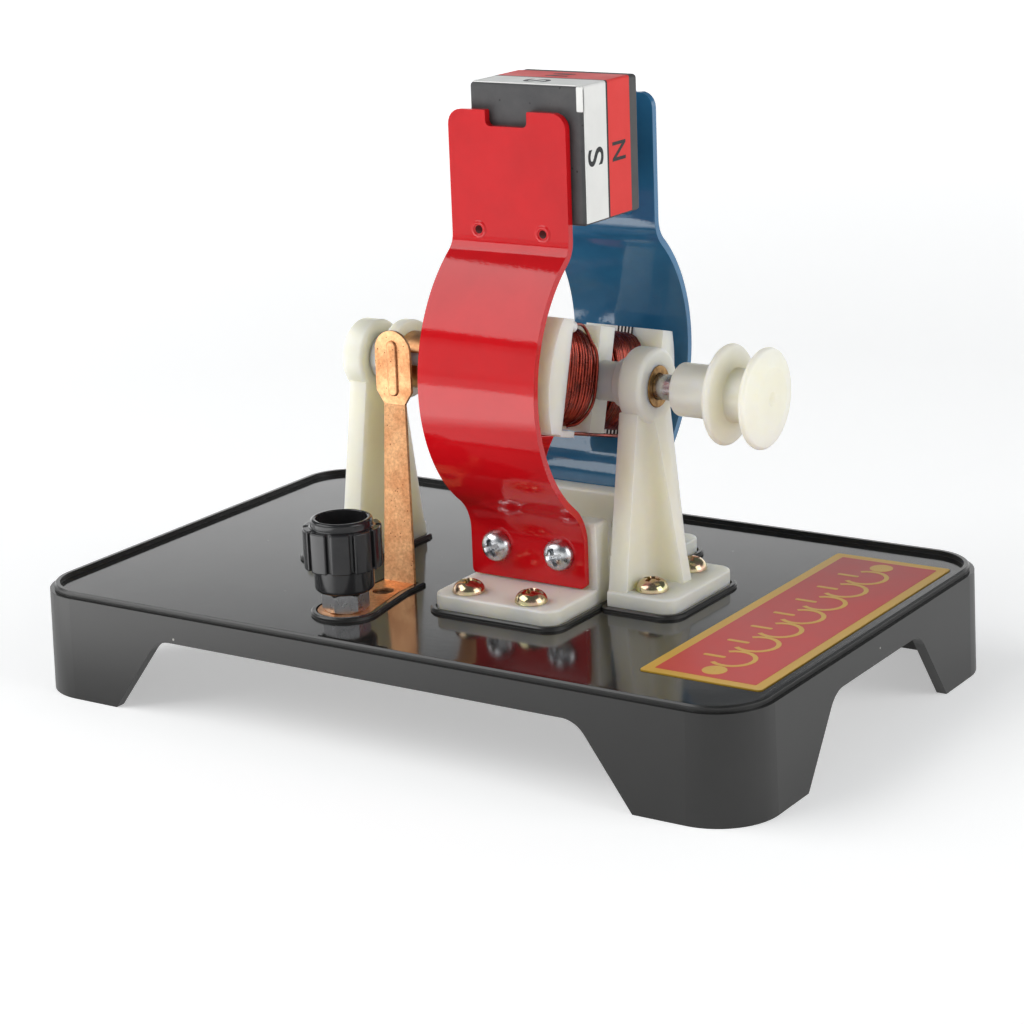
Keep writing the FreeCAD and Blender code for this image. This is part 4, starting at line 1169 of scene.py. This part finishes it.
# ---- Binding posts
# A brass stud and a zinc nut hold each brush foot. On top turns a ribbed knob of
# glossy phenolic, black in front and red behind, with a brass insert in its mouth.
black_tones = (0.016, 0.016, 0.017, 1), (0.03, 0.03, 0.031, 1)
red_tones = tint(212, 34, 30), tint(190, 26, 26)
brass_tones = tint(214, 182, 104), tint(168, 132, 66)
nut_tones = tint(236, 236, 237), tint(216, 216, 219)
knob_rounding, turned_rounding = 0.0003, 0.00015
nut_flats, nut_end, nut_chamfer, stud_radius = 0.008, 0.97, 0.55, 0.00251
nut_turn = math.radians(-82.7)


def phenolic_material(name, tones):
    return drifting_material(
        name, tones, scale=150, amount=0.6, rough=(0.1, 0.2), bumps=(900, 0.000004),
        IOR=1.55, Specular_IOR_Level=0.3,
    )


dress("knob_front_cap", phenolic_material("black_phenolic", black_tones), knob_rounding)
dress("knob_back_cap", phenolic_material("red_phenolic", red_tones), knob_rounding)
turned_brass = metal_material("turned_brass", brass_tones, (0.2, 0.4), scale=400)
for name in ("knob_front_insert", "knob_back_insert", "post_studs"):
    dress(name, turned_brass, turned_rounding, 2)
nut_zinc = metal_material("polished_zinc", nut_tones, (0.24, 0.34), scale=90, relief_depth=0.000003)


def hexagon_nut(height, steps=12):
    """Six-sided nut whose ends are turned to a shallow cone, with a plain bore."""
    mesh = bmesh.new()
    end_radius = nut_flats / 2 * nut_end
    rings = [[] for _ in range(6)]
    for index in range(6 * steps):
        angle = math.radians(60 / steps * index)
        reach = nut_flats / 2 / math.cos(angle % (math.pi / 3) - math.pi / 6)
        drop = (reach - end_radius) * nut_chamfer
        levels = [(stud_radius, 0), (end_radius, 0), (reach, drop)]
        levels += [(reach, height - drop), (end_radius, height), (stud_radius, height)]
        for ring, (radius, z) in zip(rings, levels):
            ring.append(mesh.verts.new((radius * math.cos(angle), radius * math.sin(angle), z)))
    join_rings(mesh, rings + rings[:1])
    return mesh


for index, (low, high) in enumerate(node_solids("post_nuts")):
    middle = (low + high) / 2
    mesh = hexagon_nut(high.z - low.z)
    put(mesh, Matrix.Translation((middle.x, middle.y, low.z)) @ Matrix.Rotation(nut_turn, 4, "Z"))
    nut = add_piece(f"post_nut_{index + 1}", mesh, nut_zinc, "motor_frame")
    by_angle(nut, 25)
    if index == 0:
        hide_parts("post_nuts")

# ---- Fasteners under the deck
# Steel washers and hexagonal nuts draw the feet and the posts down on the deck.
for name in ("foot_washers", "foot_nuts", "post_under_washers", "post_under_nuts"):
    dress(name, plain_steel, turned_rounding, 2)
